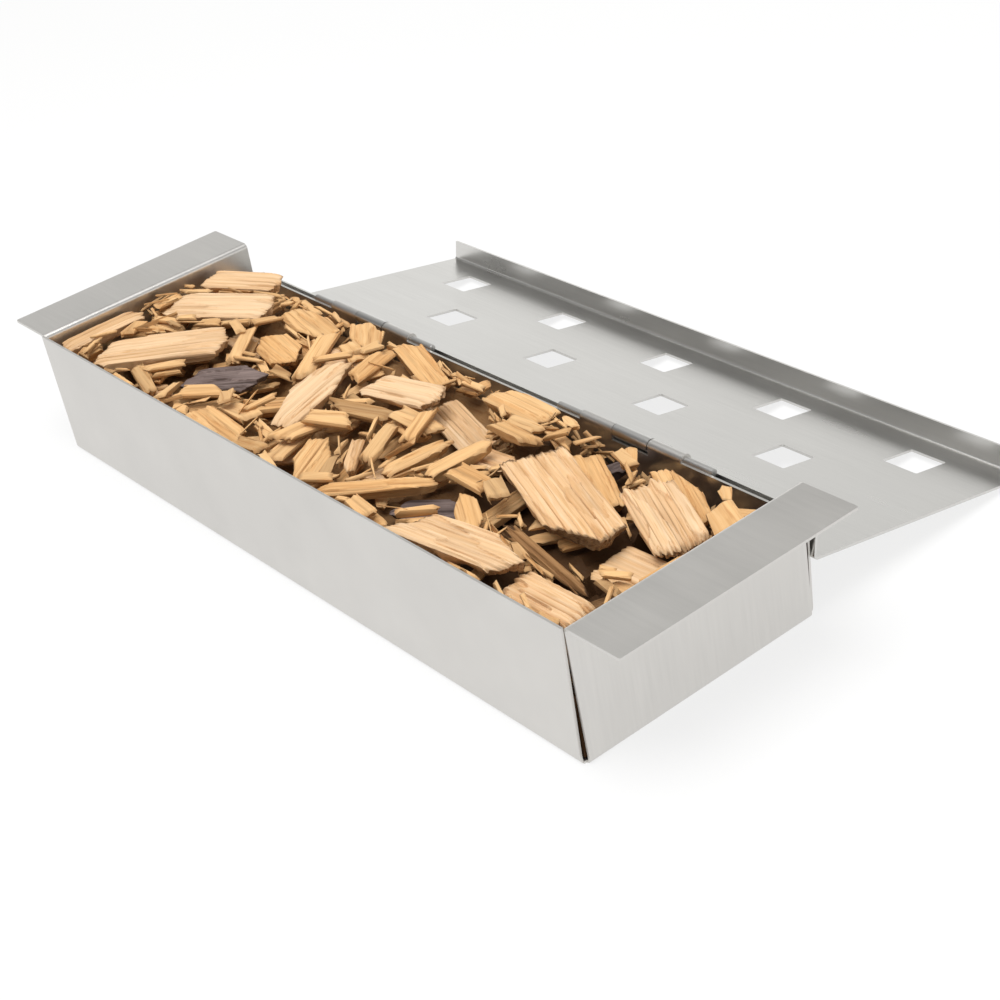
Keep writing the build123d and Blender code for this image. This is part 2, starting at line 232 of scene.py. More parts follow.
# Node helpers
class NodeKit:
    """Short calls that place and join the nodes of one node tree."""

    MIX_INPUTS = (0, 6, 7)
    MIX_COLOUR = 2

    def __init__(self, tree: bpy.types.NodeTree) -> None:
        """Keep the tree that the calls work on."""
        self.tree = tree

    def node(self, kind: str, **values: object) -> bpy.types.Node:
        """Place a node.

        Args:
            kind: The node's type.
            **values: Its settings; a name of one of its inputs sets that input.

        Returns:
            The new node.
        """
        made = self.tree.nodes.new(kind)
        for name, value in values.items():
            if hasattr(made, name):
                setattr(made, name, value)
            else:
                made.inputs[name.replace("_", " ")].default_value = value
        return made

    def join(self, source: bpy.types.NodeSocket, target: bpy.types.NodeSocket) -> None:
        """Join an output to an input."""
        self.tree.links.new(source, target)

    def scaled(self, source: bpy.types.NodeSocket, scale: tuple) -> bpy.types.NodeSocket:
        """Multiply a place by a scale on each axis.

        Args:
            source: The place.
            scale: The three factors.

        Returns:
            The scaled place.
        """
        made = self.node("ShaderNodeVectorMath", operation="MULTIPLY")
        self.join(source, made.inputs[0])
        made.inputs[1].default_value = scale
        return made.outputs[0]

    def noise(
        self, source: bpy.types.NodeSocket, scale: tuple, detail: float, rough: float = 0.55
    ) -> bpy.types.NodeSocket:
        """Noise of a place stretched by a scale.

        Args:
            source: The place.
            scale: Cells to each unit of the place, along each axis.
            detail: How many finer layers.
            rough: How strong the finer layers are.

        Returns:
            The noise's value.
        """
        made = self.node("ShaderNodeTexNoise", Scale=1.0, Detail=detail, Roughness=rough)
        self.join(self.scaled(source, scale), made.inputs["Vector"])
        return made.outputs["Fac"]

    def math(self, operation: str, first: object, second: object) -> bpy.types.NodeSocket:
        """Work out one sum of two values or outputs.

        Args:
            operation: The sum, by Blender's name.
            first: The first value or output.
            second: The second value or output.

        Returns:
            The result.
        """
        made = self.node("ShaderNodeMath", operation=operation)
        for number, value in enumerate((first, second)):
            if isinstance(value, (int, float)):
                made.inputs[number].default_value = value
            else:
                self.join(value, made.inputs[number])
        return made.outputs[0]

    def remap(
        self, source: bpy.types.NodeSocket, low: float, high: float, to_low: float, to_high: float
    ) -> bpy.types.NodeSocket:
        """Map one range of a value on to another, held at its ends.

        Args:
            source: The value.
            low: The value that becomes to_low.
            high: The value that becomes to_high.
            to_low: The result at low.
            to_high: The result at high.

        Returns:
            The mapped value.
        """
        made = self.node("ShaderNodeMapRange", clamp=True)
        self.join(source, made.inputs["Value"])
        for name, value in (
            ("From Min", low), ("From Max", high), ("To Min", to_low), ("To Max", to_high)
        ):
            made.inputs[name].default_value = value
        return made.outputs["Result"]

    def mix(self, share: object, first: object, second: object) -> bpy.types.NodeSocket:
        """Mix two colours.

        Args:
            share: How much of the second, as a value or output.
            first: The first colour or output.
            second: The second colour or output.

        Returns:
            The mixed colour.
        """
        made = self.node("ShaderNodeMix", data_type="RGBA")
        for number, value in zip(self.MIX_INPUTS, (share, first, second)):
            if isinstance(value, (int, float, tuple)):
                made.inputs[number].default_value = value
            else:
                self.join(value, made.inputs[number])
        return made.outputs[self.MIX_COLOUR]


def rgba(colour: tuple[float, float, float]) -> tuple[float, float, float, float]:
    """A colour with full alpha."""
    return (*colour, 1.0)


class SheetStreaks:
    """The fine streaks and soft patches of rolled steel, as one shared node group.

    Streaks are noise of the stretched place, and smears a coarser noise of the same. Patches,
    and the places where the streaks show, are noise of the place itself, in cells to the metre.
    """

    NAME = "sheet_streaks"
    STREAK_SCALE = (1.0, 1.0, 1.0)
    SMEAR_SCALE = (0.14, 0.14, 0.3)
    PATCH_SCALE = (28.0, 28.0, 28.0)
    SHOWING_SCALE = (60.0, 60.0, 60.0)
    SHOWING_RANGE = (0.35, 0.65)
    FAINTEST = 0.25
    SMEAR_TONE = 0.45
    PATCH_TONE = 0.55
    SMEAR_ROUGH = 0.5
    PATCH_ROUGH = 0.5

    @classmethod
    def group(cls) -> bpy.types.NodeTree:
        """Give the group, built the first time it is asked for.

        Returns:
            The node group: Place in metres and Grain in, Tone, Roughness and Height out.
        """
        if cls.NAME in bpy.data.node_groups:
            return bpy.data.node_groups[cls.NAME]
        tree = bpy.data.node_groups.new(cls.NAME, "ShaderNodeTree")
        for name in ("Place", "Grain"):
            tree.interface.new_socket(name, in_out="INPUT", socket_type="NodeSocketVector")
        for name in ("Tone", "Roughness", "Height"):
            tree.interface.new_socket(name, in_out="OUTPUT", socket_type="NodeSocketFloat")
        kit = NodeKit(tree)
        place = kit.node("NodeGroupInput").outputs["Place"]
        grain = kit.node("NodeGroupInput").outputs["Grain"]
        streaks = kit.noise(grain, cls.STREAK_SCALE, 2.0, 0.5)
        smears = kit.noise(grain, cls.SMEAR_SCALE, 3.0, 0.55)
        patches = kit.noise(place, cls.PATCH_SCALE, 3.0, 0.5)
        shown = kit.noise(place, cls.SHOWING_SCALE, 2.0)
        showing = kit.remap(shown, *cls.SHOWING_RANGE, cls.FAINTEST, 1.0)
        lively = kit.math("MULTIPLY", kit.math("SUBTRACT", streaks, 0.5), showing)
        smeared = kit.math("ADD", lively, kit.math("MULTIPLY", smears, cls.SMEAR_TONE))
        tone = kit.math("ADD", smeared, kit.math("MULTIPLY", patches, cls.PATCH_TONE))
        rough = kit.math(
            "ADD", kit.math("MULTIPLY", smears, cls.SMEAR_ROUGH),
            kit.math("MULTIPLY", patches, cls.PATCH_ROUGH),
        )
        out = kit.node("NodeGroupOutput")
        kit.join(tone, out.inputs["Tone"])
        kit.join(rough, out.inputs["Roughness"])
        kit.join(streaks, out.inputs["Height"])
        return tree


class WoodGrain:
    """Fibres, growth bands and dark pores of split wood, as one shared node group.

    Each is noise of the place, with cells long along the grain. The scales are cells to the
    millimetre along, across and through it. A slow noise first sways the place across the grain.
    """

    NAME = "wood_grain"
    SWAY_SCALE = (0.06, 0.12, 0.12)
    SWAY_MM = 1.6
    FIBRE_SCALE = (0.05, 1.7, 1.7)
    BAND_SCALE = (0.012, 0.40, 0.40)
    PORE_SCALE = (0.05, 1.15, 1.15)
    PORE_RANGE = (0.60, 0.70)
    PATCH_SCALE = (0.05, 0.09, 0.09)

    @classmethod
    def group(cls) -> bpy.types.NodeTree:
        """Give the group, built the first time it is asked for.

        Returns:
            The node group: Place in, millimetres along, across and through the grain; Fibre,
            Band, Pore and Patch out.
        """
        if cls.NAME in bpy.data.node_groups:
            return bpy.data.node_groups[cls.NAME]
        tree = bpy.data.node_groups.new(cls.NAME, "ShaderNodeTree")
        tree.interface.new_socket("Place", in_out="INPUT", socket_type="NodeSocketVector")
        for name in ("Fibre", "Band", "Pore", "Patch"):
            tree.interface.new_socket(name, in_out="OUTPUT", socket_type="NodeSocketFloat")
        kit = NodeKit(tree)
        place = kit.node("NodeGroupInput").outputs["Place"]
        sway = kit.noise(place, cls.SWAY_SCALE, 2.0)
        shift = kit.node("ShaderNodeCombineXYZ")
        kit.join(kit.math("MULTIPLY", sway, cls.SWAY_MM), shift.inputs["Y"])
        bend = kit.node("ShaderNodeVectorMath", operation="ADD")
        kit.join(place, bend.inputs[0])
        kit.join(shift.outputs[0], bend.inputs[1])
        bent = bend.outputs[0]
        pores = kit.noise(bent, cls.PORE_SCALE, 2.0, 0.5)
        out = kit.node("NodeGroupOutput")
        kit.join(kit.noise(bent, cls.FIBRE_SCALE, 4.0, 0.65), out.inputs["Fibre"])
        kit.join(kit.noise(bent, cls.BAND_SCALE, 2.0, 0.5), out.inputs["Band"])
        kit.join(kit.remap(pores, *cls.PORE_RANGE, 0.0, 1.0), out.inputs["Pore"])
        kit.join(kit.noise(place, cls.PATCH_SCALE, 3.0, 0.55), out.inputs["Patch"])
        return tree


# Finishes
@dataclass(frozen=True)
class SteelFinish:
    """Satin stainless steel: its colour, its gloss and how strongly the streaks show."""

    name: str
    colour: tuple[float, float, float]
    roughness: float
    stretch: tuple[float, float, float]
    rough_spread: float = 0.04
    tone_spread: float = 0.03
    bump_mm: float = 0.0015

    NOISE_RANGE = (0.3, 0.7)
    BUMP_STRENGTH = 0.6

    def make(self) -> bpy.types.Material:
        """Build the material.

        Returns:
            The new material.
        """
        material = bpy.data.materials.new(self.name)
        material.use_nodes = True
        kit = NodeKit(material.node_tree)
        shader = material.node_tree.nodes["Principled BSDF"]
        shader.inputs["Metallic"].default_value = 1.0
        place = kit.node("ShaderNodeTexCoord").outputs["Object"]
        group = kit.node("ShaderNodeGroup", node_tree=SheetStreaks.group())
        kit.join(place, group.inputs["Place"])
        kit.join(kit.scaled(place, self.stretch), group.inputs["Grain"])
        low = tuple(c * (1.0 - self.tone_spread) for c in self.colour)
        high = tuple(min(c * (1.0 + self.tone_spread), 1.0) for c in self.colour)
        share = kit.remap(group.outputs["Tone"], *self.NOISE_RANGE, 0.0, 1.0)
        kit.join(kit.mix(share, rgba(low), rgba(high)), shader.inputs["Base Color"])
        rough = kit.remap(
            group.outputs["Roughness"], *self.NOISE_RANGE,
            self.roughness - self.rough_spread, self.roughness + self.rough_spread,
        )
        kit.join(rough, shader.inputs["Roughness"])
        bump = kit.node(
            "ShaderNodeBump", Strength=self.BUMP_STRENGTH, Distance=self.bump_mm * MM
        )
        kit.join(group.outputs["Height"], bump.inputs["Height"])
        kit.join(bump.outputs["Normal"], shader.inputs["Normal"])
        return material


@dataclass(frozen=True)
class WoodFinish:
    """Split wood: three tones, the colour of its torn ends that also serves for painted shade,
    its roughness and its relief.
    """

    name: str
    dark: tuple[float, float, float]
    middle: tuple[float, float, float]
    pale: tuple[float, float, float]
    torn: tuple[float, float, float]
    roughness: float
    bump_mm: float

    TONE_STOPS = (0.30, 0.47, 0.66)
    FIBRE_SHARE = 0.55
    PATCH_RANGE = (0.35, 0.65)
    MOST_PATCH = 0.45
    MOST_TONE = 0.55
    MOST_PORE = 0.55
    MOST_SHADE_AND_TORN = 0.8
    BURNT_AND_SHADE_LEVEL = 0.35
    SPECULAR = 0.25
    ROUGH_RANGE = (0.3, 0.7)
    ROUGH_SPREAD = 0.08
    PORE_DEPTH = 0.3
    BUMP_STRENGTH = 0.8

    def make(self) -> bpy.types.Material:
        """Build the material.

        Returns:
            The new material.
        """
        material = bpy.data.materials.new(self.name)
        material.use_nodes = True
        kit = NodeKit(material.node_tree)
        shader = material.node_tree.nodes["Principled BSDF"]
        shader.inputs["Specular IOR Level"].default_value = self.SPECULAR
        grain = kit.node("ShaderNodeAttribute", attribute_name=Attribute.GRAIN.value)
        shade = kit.node("ShaderNodeAttribute", attribute_name=Attribute.SHADE.value)
        group = kit.node("ShaderNodeGroup", node_tree=WoodGrain.group())
        kit.join(grain.outputs["Vector"], group.inputs["Place"])
        kit.join(
            self.shaded(kit, self.grained(kit, group.outputs), group.outputs["Pore"], shade),
            shader.inputs["Base Color"],
        )
        fibre = group.outputs["Fibre"]
        dull, glossy = self.roughness + self.ROUGH_SPREAD, self.roughness - self.ROUGH_SPREAD
        kit.join(kit.remap(fibre, *self.ROUGH_RANGE, dull, glossy), shader.inputs["Roughness"])
        sunk = kit.math("MULTIPLY", group.outputs["Pore"], self.PORE_DEPTH)
        bump = kit.node(
            "ShaderNodeBump", Strength=self.BUMP_STRENGTH, Distance=self.bump_mm * MM
        )
        kit.join(kit.math("SUBTRACT", fibre, sunk), bump.inputs["Height"])
        kit.join(bump.outputs["Normal"], shader.inputs["Normal"])
        return material

    def grained(
        self, kit: NodeKit, grain: bpy.types.NodeOutputs
    ) -> bpy.types.NodeSocket:
        """Colour the wood by its fibres and bands, evened out in patches.

        Args:
            kit: The calls on the material's nodes.
            grain: The outputs of the grain group.

        Returns:
            The colour.
        """
        blend = kit.math(
            "ADD", kit.math("MULTIPLY", grain["Fibre"], self.FIBRE_SHARE),
            kit.math("MULTIPLY", grain["Band"], 1.0 - self.FIBRE_SHARE),
        )
        ramp = kit.node("ShaderNodeValToRGB")
        first, middle, last = self.TONE_STOPS
        stops = ramp.color_ramp.elements
        stops[0].position, stops[0].color = first, rgba(self.dark)
        stops[1].position, stops[1].color = last, rgba(self.pale)
        stops.new(middle).color = rgba(self.middle)
        kit.join(blend, ramp.inputs[0])
        patch = kit.remap(grain["Patch"], *self.PATCH_RANGE, 0.0, self.MOST_PATCH)
        return kit.mix(patch, ramp.outputs[0], rgba(self.middle))

    def shaded(
        self, kit: NodeKit, colour: bpy.types.NodeSocket, pore: bpy.types.NodeSocket,
        shade: bpy.types.Node,
    ) -> bpy.types.NodeSocket:
        """Change the colour by the chip's tone, its pores, its torn ends, its burnt ends and
        painted shade.

        Args:
            kit: The calls on the material's nodes.
            colour: The grained colour.
            pore: The mask of the pores.
            shade: The attribute with the painted shade and torn colour, the tone, and the burn
                with painted depth shade.

        Returns:
            The colour.
        """
        parts = kit.node("ShaderNodeSeparateXYZ")
        kit.join(shade.outputs["Vector"], parts.inputs[0])
        shade_and_torn, tone, burn_and_shade = parts.outputs
        toned = kit.mix(kit.math("MULTIPLY", tone, self.MOST_TONE), colour, rgba(self.pale))
        pored = kit.mix(kit.math("MULTIPLY", pore, self.MOST_PORE), toned, rgba(self.dark))
        # Painted shade and torn colour darken towards the torn colour; burn and painted depth
        # shade towards a darker torn colour.
        shaded_and_torn = kit.mix(kit.math("MULTIPLY", shade_and_torn, self.MOST_SHADE_AND_TORN), pored, rgba(self.torn))
        return kit.mix(burn_and_shade, shaded_and_torn, rgba(tuple(c * self.BURNT_AND_SHADE_LEVEL for c in self.torn)))


@dataclass(frozen=True)
class FloorFinish:
    """The pale studio floor, which the camera and the steel see as white."""

    name: str = "studio_floor"
    colour: tuple[float, float, float] = (0.86, 0.86, 0.855)
    roughness: float = 0.9
    camera_level: float = 0.76
    camera_share: float = 0.25
    steel_level: float = 0.79
    steel_share: float = 0.12

    def make(self) -> bpy.types.Material:
        """Build the material: a plain pale floor.

        The camera and the steel each see a share of the lit floor, added to an even level.

        Returns:
            The new material.
        """
        material = bpy.data.materials.new(self.name)
        material.use_nodes = True
        kit = NodeKit(material.node_tree)
        shader = material.node_tree.nodes["Principled BSDF"]
        shader.inputs["Base Color"].default_value = rgba(self.colour)
        shader.inputs["Roughness"].default_value = self.roughness
        shader.inputs["Specular IOR Level"].default_value = 0.0
        path = kit.node("ShaderNodeLightPath")
        camera, steel = path.outputs["Is Camera Ray"], path.outputs["Is Glossy Ray"]
        level = kit.math(
            "ADD", kit.math("MULTIPLY", camera, self.camera_level),
            kit.math("MULTIPLY", steel, self.steel_level),
        )
        unlit = kit.math(
            "ADD", kit.math("MULTIPLY", camera, 1.0 - self.camera_share),
            kit.math("MULTIPLY", steel, 1.0 - self.steel_share),
        )
        glow = kit.node("ShaderNodeEmission")
        kit.join(level, glow.inputs["Strength"])
        lit = kit.node("ShaderNodeMixShader")
        kit.join(unlit, lit.inputs[0])
        kit.join(shader.outputs[0], lit.inputs[1])
        both = kit.node("ShaderNodeAddShader")
        kit.join(lit.outputs[0], both.inputs[0])
        kit.join(glow.outputs[0], both.inputs[1])
        kit.join(both.outputs[0], material.node_tree.nodes["Material Output"].inputs["Surface"])
        return material


SHEET = SteelFinish(
    name="satin_sheet", colour=(0.730, 0.712, 0.682), roughness=0.36, stretch=(40.0, 700.0, 40.0)
)
LID_SHEET = SteelFinish(
    name="satin_lid_sheet", colour=(0.715, 0.705, 0.68), roughness=0.30,
    stretch=(40.0, 700.0, 700.0),
)
WIRE = SteelFinish(
    name="drawn_wire", colour=(0.56, 0.55, 0.53), roughness=0.40, stretch=(40.0, 900.0, 900.0),
    tone_spread=0.05, bump_mm=0.002,
)
WOODS = {
    Wood.TAN: WoodFinish(
        name="split_wood_tan", dark=(0.50, 0.22, 0.070), middle=(0.74, 0.42, 0.170),
        pale=(0.85, 0.565, 0.285), torn=(0.20, 0.085, 0.028), roughness=0.74, bump_mm=0.16,
    ),
    Wood.BROWN: WoodFinish(
        name="split_wood_brown", dark=(0.11, 0.047, 0.018), middle=(0.30, 0.150, 0.056),
        pale=(0.56, 0.33, 0.15), torn=(0.06, 0.027, 0.012), roughness=0.78, bump_mm=0.2,
    ),
    Wood.PALE: WoodFinish(
        name="split_wood_pale", dark=(0.57, 0.30, 0.11), middle=(0.76, 0.47, 0.235),
        pale=(0.86, 0.635, 0.41), torn=(0.25, 0.12, 0.045), roughness=0.72, bump_mm=0.16,
    ),
    Wood.BARK: WoodFinish(
        name="dark_bark", dark=(0.055, 0.038, 0.034), middle=(0.15, 0.108, 0.098),
        pale=(0.33, 0.25, 0.225), torn=(0.02, 0.013, 0.01), roughness=0.82, bump_mm=0.3,
    ),
}


# Wood chips
@dataclass(frozen=True)
class ChipBody:
    """A chip's solid in the frame: its place, its directions, its outline and its thickness."""

    origin: np.ndarray
    axes: np.ndarray
    outline: np.ndarray
    thickness: float

    SMALLEST_AREA = 1e-9
    SAME_WAY = 0.999
    TURN_STEP_DEG = 1.0

    @classmethod
    def all_of(cls, node: str) -> list["ChipBody"]:
        """Read the solids of a node.

        Corners at the same place are one, and a solid is the triangles that share them: each
        corner takes the lowest number found in its triangles until nothing changes.

        Args:
            node: The node's name.

        Returns:
            One body for each solid, in millimetres.
        """
        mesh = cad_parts[node].data
        points = np.empty(len(mesh.vertices) * 3)
        mesh.vertices.foreach_get("co", points)
        points = points.reshape(-1, 3) / MM
        mesh.calc_loop_triangles()
        corners = np.empty(len(mesh.loop_triangles) * 3, dtype=np.int32)
        mesh.loop_triangles.foreach_get("vertices", corners)
        corners = corners.reshape(-1, 3)
        same_place = np.unique(np.round(points, 3), axis=0, return_inverse=True)[1].ravel()
        joined = same_place[corners]
        label, before = np.arange(same_place.max() + 1), None
        while not np.array_equal(label, before):
            before = label.copy()
            np.minimum.at(label, joined.ravel(), np.repeat(before[joined].min(axis=1), 3))
        group = label[joined[:, 0]]
        return [cls.from_triangles(points[corners[group == one]]) for one in np.unique(group)]

    @classmethod
    def from_triangles(cls, tri: np.ndarray) -> "ChipBody":
        """Read one solid.

        The widest flat face is its underside, whose inward normal is the chip's own z. The
        smallest rectangle round that face gives the way of the grain.

        Args:
            tri: The solid's triangles, in millimetres.

        Returns:
            The chip's body.
        """
        cross = np.cross(tri[:, 1] - tri[:, 0], tri[:, 2] - tri[:, 0])
        area = np.linalg.norm(cross, axis=1)
        unit = cross / np.maximum(area, cls.SMALLEST_AREA)[:, None]
        same = unit @ unit.T > cls.SAME_WAY
        widest = int(np.argmax(same @ area))
        z_axis = -unit[widest]
        under = tri[same[widest]].reshape(-1, 3)
        centre = under.mean(axis=0)
        flat_x = np.cross([0.0, 1.0, 0.0], z_axis)
        flat_x /= np.linalg.norm(flat_x)
        flat_y = np.cross(z_axis, flat_x)
        flat = np.c_[(under - centre) @ flat_x, (under - centre) @ flat_y]
        turns = np.radians(np.arange(0.0, 180.0, cls.TURN_STEP_DEG))
        along = flat @ np.array([np.cos(turns), np.sin(turns)])
        across = flat @ np.array([-np.sin(turns), np.cos(turns)])
        length, width = np.ptp(along, axis=0), np.ptp(across, axis=0)
        best = np.argmin(np.where(length >= width, length * width, np.inf))
        x_axis = math.cos(turns[best]) * flat_x + math.sin(turns[best]) * flat_y
        ring = convex_ring(np.c_[along[:, best], across[:, best]])
        axes = np.array([x_axis, np.cross(z_axis, x_axis), z_axis])
        every = tri.reshape(-1, 3) - centre
        return cls(centre, axes, ring, float(np.max(every @ z_axis)))

    def world(self, local: np.ndarray) -> np.ndarray:
        """Places in the frame, in millimetres, of places on the chip."""
        return self.origin + local @ self.axes


def convex_ring(points: np.ndarray) -> np.ndarray:
    """The convex outline of flat points, anticlockwise.

    Args:
        points: The points, one row each.

    Returns:
        The outline's corners in order.
    """
    ordered = sorted(map(tuple, np.round(points, 4)))
    ring = []
    for part in (ordered, ordered[::-1]):
        chain = []
        for point in part:
            while len(chain) > 1 and (
                (chain[-1][0] - chain[-2][0]) * (point[1] - chain[-2][1])
                - (chain[-1][1] - chain[-2][1]) * (point[0] - chain[-2][0])
            ) <= TINY:
                chain.pop()
            chain.append(point)
        ring += chain[:-1]
    return np.array(ring)


def ring_reach(ring: np.ndarray, across: np.ndarray) -> tuple[np.ndarray, np.ndarray]:
    """The lowest and highest x of a convex outline at each y.

    Args:
        ring: The outline's corners in order.
        across: The wanted y values.

    Returns:
        The lowest and the highest x at each of them.
    """
    low = np.full(len(across), np.inf)
    high = np.full(len(across), -np.inf)
    for (x0, y0), (x1, y1) in zip(ring, np.roll(ring, -1, axis=0)):
        if abs(y1 - y0) < TINY:
            continue
        share = (across - y0) / (y1 - y0)
        hit = (share >= -TINY) & (share <= 1 + TINY)
        x = x0 + share * (x1 - x0)
        low = np.where(hit, np.minimum(low, x), low)
        high = np.where(hit, np.maximum(high, x), high)
    return low, high


@dataclass(frozen=True)
class ChipStyle:
    """How one chip is split: ribs along the grain, torn ends, steps, bend and its own tone."""

    rib_mm: float = 0.5
    rib_pitch: float = 2.6
    step_mm: float = 0.6
    torn_mm: float = 2.2
    thin_end: float = 0.22
    tone: float = 0.4
    burn_and_shade: float = 0.0
    cell_mm: float = 0.6
    wood: Wood = Wood.TAN
    aged: float = 0.0
    sway: float = 0.55
    bend_mm: float = 0.0
    grid: tuple[int, int, int] | None = None


@dataclass(frozen=True)
class NoiseField:
    """One random field of a chip: its number, and how large its cells are along each value."""

    number: int
    cells: tuple[float, ...]


class SplitChip:
    """One chip of split wood, built over its solid.

    Sizes are in millimetres. Places on the chip are shares: s along the grain, t across it
    and w from the underside up.
    """

    SHIFT = 7.31
    SHIFTS = 97
    FIELDS_APART = 131
    CELL_SHAPE = (1.6, 0.75, 1.4)
    FEWEST_CELLS = (8, 6, 3)
    SIDE_INSET = 0.01

    TORN_FINE = (NoiseField(1, (0.55, 1 / 1.7)), NoiseField(3, (0.55, 1 / 1.7)))
    TORN_BROAD = (NoiseField(2, (2.4, 1 / 0.6)), NoiseField(4, (2.4, 1 / 0.6)))
    FINE_TEAR = 0.7
    BROAD_TEAR = 0.5
    FULL_TEAR_FROM = 0.35
    LEAST_TEAR = 0.15

    LANE_SWAY = NoiseField(6, (38.0, 9.0))
    LANE_STRENGTH = NoiseField(7, (30.0, 1 / 3.7))
    LANE_TONE = NoiseField(12, (1 / 1.3, 60.0))
    LANE_FACE = 0.82
    GROOVE_AT = 0.86
    GROOVE_HALF = 0.13
    GROOVE_FROM = 0.32
    GROOVE_RISE = 2.5
    LAYER_CELLS = (22.0, 3.8)
    LAYER_PLANES = 89
    LAYER_SEED = 9
    LAYER_FROM = 0.09
    LAYER_OVER = 0.035
    FINE_FIBRE = NoiseField(10, (16.0, 0.9))
    HAIR_FIBRE = NoiseField(11, (8.0, 0.45))
    LANE_DEPTH = 0.7
    GROOVE_DEPTH = 0.55
    FIBRE_DEPTH = 0.3
    HAIR_DEPTH = 0.1
    GROOVE_SHADE = 0.6
    FIBRE_GAP_SHADE = 0.4
    LAYER_STEP_SHADE = 0.15
    LANE_CONTRAST = 0.5
    LAYER_TONE = 0.25

    CHAMFER = 0.1
    UNDERCUT = 0.25
    UNDERCUT_SPREAD = 0.8
    END_CUT = NoiseField(17, (2.2, 1.0))
    SIDE_CUT = NoiseField(18, (9.0, 1.0))
    MOST_END_CUT = 0.12
    MOST_SIDE_CUT = 0.2
    SIDE_ROUGH = NoiseField(15, (5.0, 0.6))
    ROUGH_MM = 0.5

    END_REACH = 0.14
    SIDE_REACH_MM = 0.9
    SIDE_THIN = 0.1
    LOP = NoiseField(13, (3.0, 1.0))
    LEAST_LOP = 0.3
    OTHER_END = 5.0
    UNDER_FIBRE = NoiseField(14, (16.0, 0.9))
    UNDER_RIB = 0.3
    UNDER_LIFT = 0.12
    LEAST_THICK = 0.2

    CUT_HAIR = NoiseField(16, (1.5, 0.4, 0.4))
    SIDE_HOLLOW = (0.1, 0.4)
    END_HOLLOW = (0.25, 0.7)
    UNDERSIDE = 0.01
    UNDERSIDE_SHADE = 0.6
    BURN_RISE = 3.0
    BURN_FROM = 1.6
    BURN_FRAY = 1.6
    END_BURN = 0.55
    SHADE_BELOW = 35.0
    SHADE_RANGE = 14.0
    MOST_DEPTH_SHADE = 0.6
    GRAIN_STEP = (31.0, 17.0, 11.0)
    GRAIN_STEPS = 13
    GOLDEN_SHARE = 0.618

    def __init__(self, body: ChipBody, style: ChipStyle, seed: int) -> None:
        """Keep what the chip is made from.

        Args:
            body: Its solid.
            style: How it is split.
            seed: Which random fields it takes.
        """
        self.body = body
        self.style = style
        self.seed = seed
        self.low = body.outline.min(axis=0)
        self.length, self.width = body.outline.max(axis=0) - self.low

    def noise(self, kind: NoiseField, *values: np.ndarray) -> np.ndarray:
        """Value noise of this chip's own, of up to three values in the field's cells.

        Args:
            kind: The field.
            *values: The values that the noise is worked out of.

        Returns:
            One value from 0 to 1 for each place.
        """
        shifts = self.SHIFT * (self.seed % self.SHIFTS) + np.zeros(3)
        scaled = [value / cell for value, cell in zip(values, kind.cells)]
        rows = np.stack(np.broadcast_arrays(*scaled, *[0.0] * (3 - len(scaled))), axis=-1)
        return value_noise(rows + shifts, self.seed + self.FIELDS_APART * kind.number)

    def grid(self) -> tuple[np.ndarray, np.ndarray]:
        """Divide the chip into cells of about the style's size.

        Returns:
            The block's shares and quads.
        """
        sides = (self.length, self.width, self.body.thickness)
        counts = self.style.grid or [
            max(int(side / (shape * self.style.cell_mm)), fewest)
            for side, shape, fewest in zip(sides, self.CELL_SHAPE, self.FEWEST_CELLS)
        ]
        return BlockShell(*counts).build()

    def ends(self, y: np.ndarray, w: np.ndarray) -> tuple[np.ndarray, np.ndarray]:
        """Where each fibre line starts and stops.

        The outline gives both ends at y. Each then falls short by a torn length, times a fine
        noise squared plus a broad one, both of y and of the height share w. Short fibre lines
        are torn less.

        Args:
            y: Each point's place across the chip.
            w: Each point's share of the height.

        Returns:
            The lowest and the highest x of each fibre line.
        """
        start, stop = ring_reach(self.body.outline, y)
        whole = np.clip(
            (stop - start) / (self.FULL_TEAR_FROM * self.length), self.LEAST_TEAR, 1.0
        )
        short = [
            self.style.torn_mm * whole * (
                self.FINE_TEAR * self.noise(fine, y, w) ** 2
                + self.BROAD_TEAR * self.noise(broad, y, w)
            )
            for fine, broad in zip(self.TORN_FINE, self.TORN_BROAD)
        ]
        return start + short[0], stop - short[1]

    def relief(self, x: np.ndarray, y: np.ndarray) -> tuple[np.ndarray, np.ndarray, np.ndarray]:
        """How deep the split face lies under the solid's top, and how it is toned.

        Lanes run along the grain, their borders swaying by a slow noise. Across a lane the
        face falls slowly and climbs back sharply, by a strength that each lane draws anew and
        changes slowly along it. Strong lanes end in a groove. Where another slow noise passes
        a threshold, a whole layer has split away. Two finer noises add fibres.

        Args:
            x: Places along the grain.
            y: Places across it.

        Returns:
            The depth in millimetres, the painted shade of the grooves, fibre gaps and split
            steps, and the tone, both from 0 to 1.
        """
        style = self.style
        lane = y / style.rib_pitch + style.sway * (self.noise(self.LANE_SWAY, x, y) - 0.5)
        number = np.floor(lane)
        within = lane - number
        strength = self.noise(self.LANE_STRENGTH, x, number)
        fall = np.where(
            within < self.LANE_FACE, within / self.LANE_FACE,
            (1.0 - within) / (1.0 - self.LANE_FACE),
        )
        groove = np.clip(1.0 - np.abs(within - self.GROOVE_AT) / self.GROOVE_HALF, 0.0, 1.0)
        groove = groove * np.clip(self.GROOVE_RISE * (strength - self.GROOVE_FROM), 0.0, 1.0)
        along, across = self.LAYER_CELLS
        place = np.c_[x / along, y / across, 0 * x + self.seed % self.LAYER_PLANES]
        layers = layered_noise(place, self.seed + self.LAYER_SEED, 2)
        split_away = np.clip((layers - self.LAYER_FROM) / self.LAYER_OVER, 0.0, 1.0)
        gap = 1 - self.noise(self.FINE_FIBRE, x, y)
        hair = self.noise(self.HAIR_FIBRE, x, y)
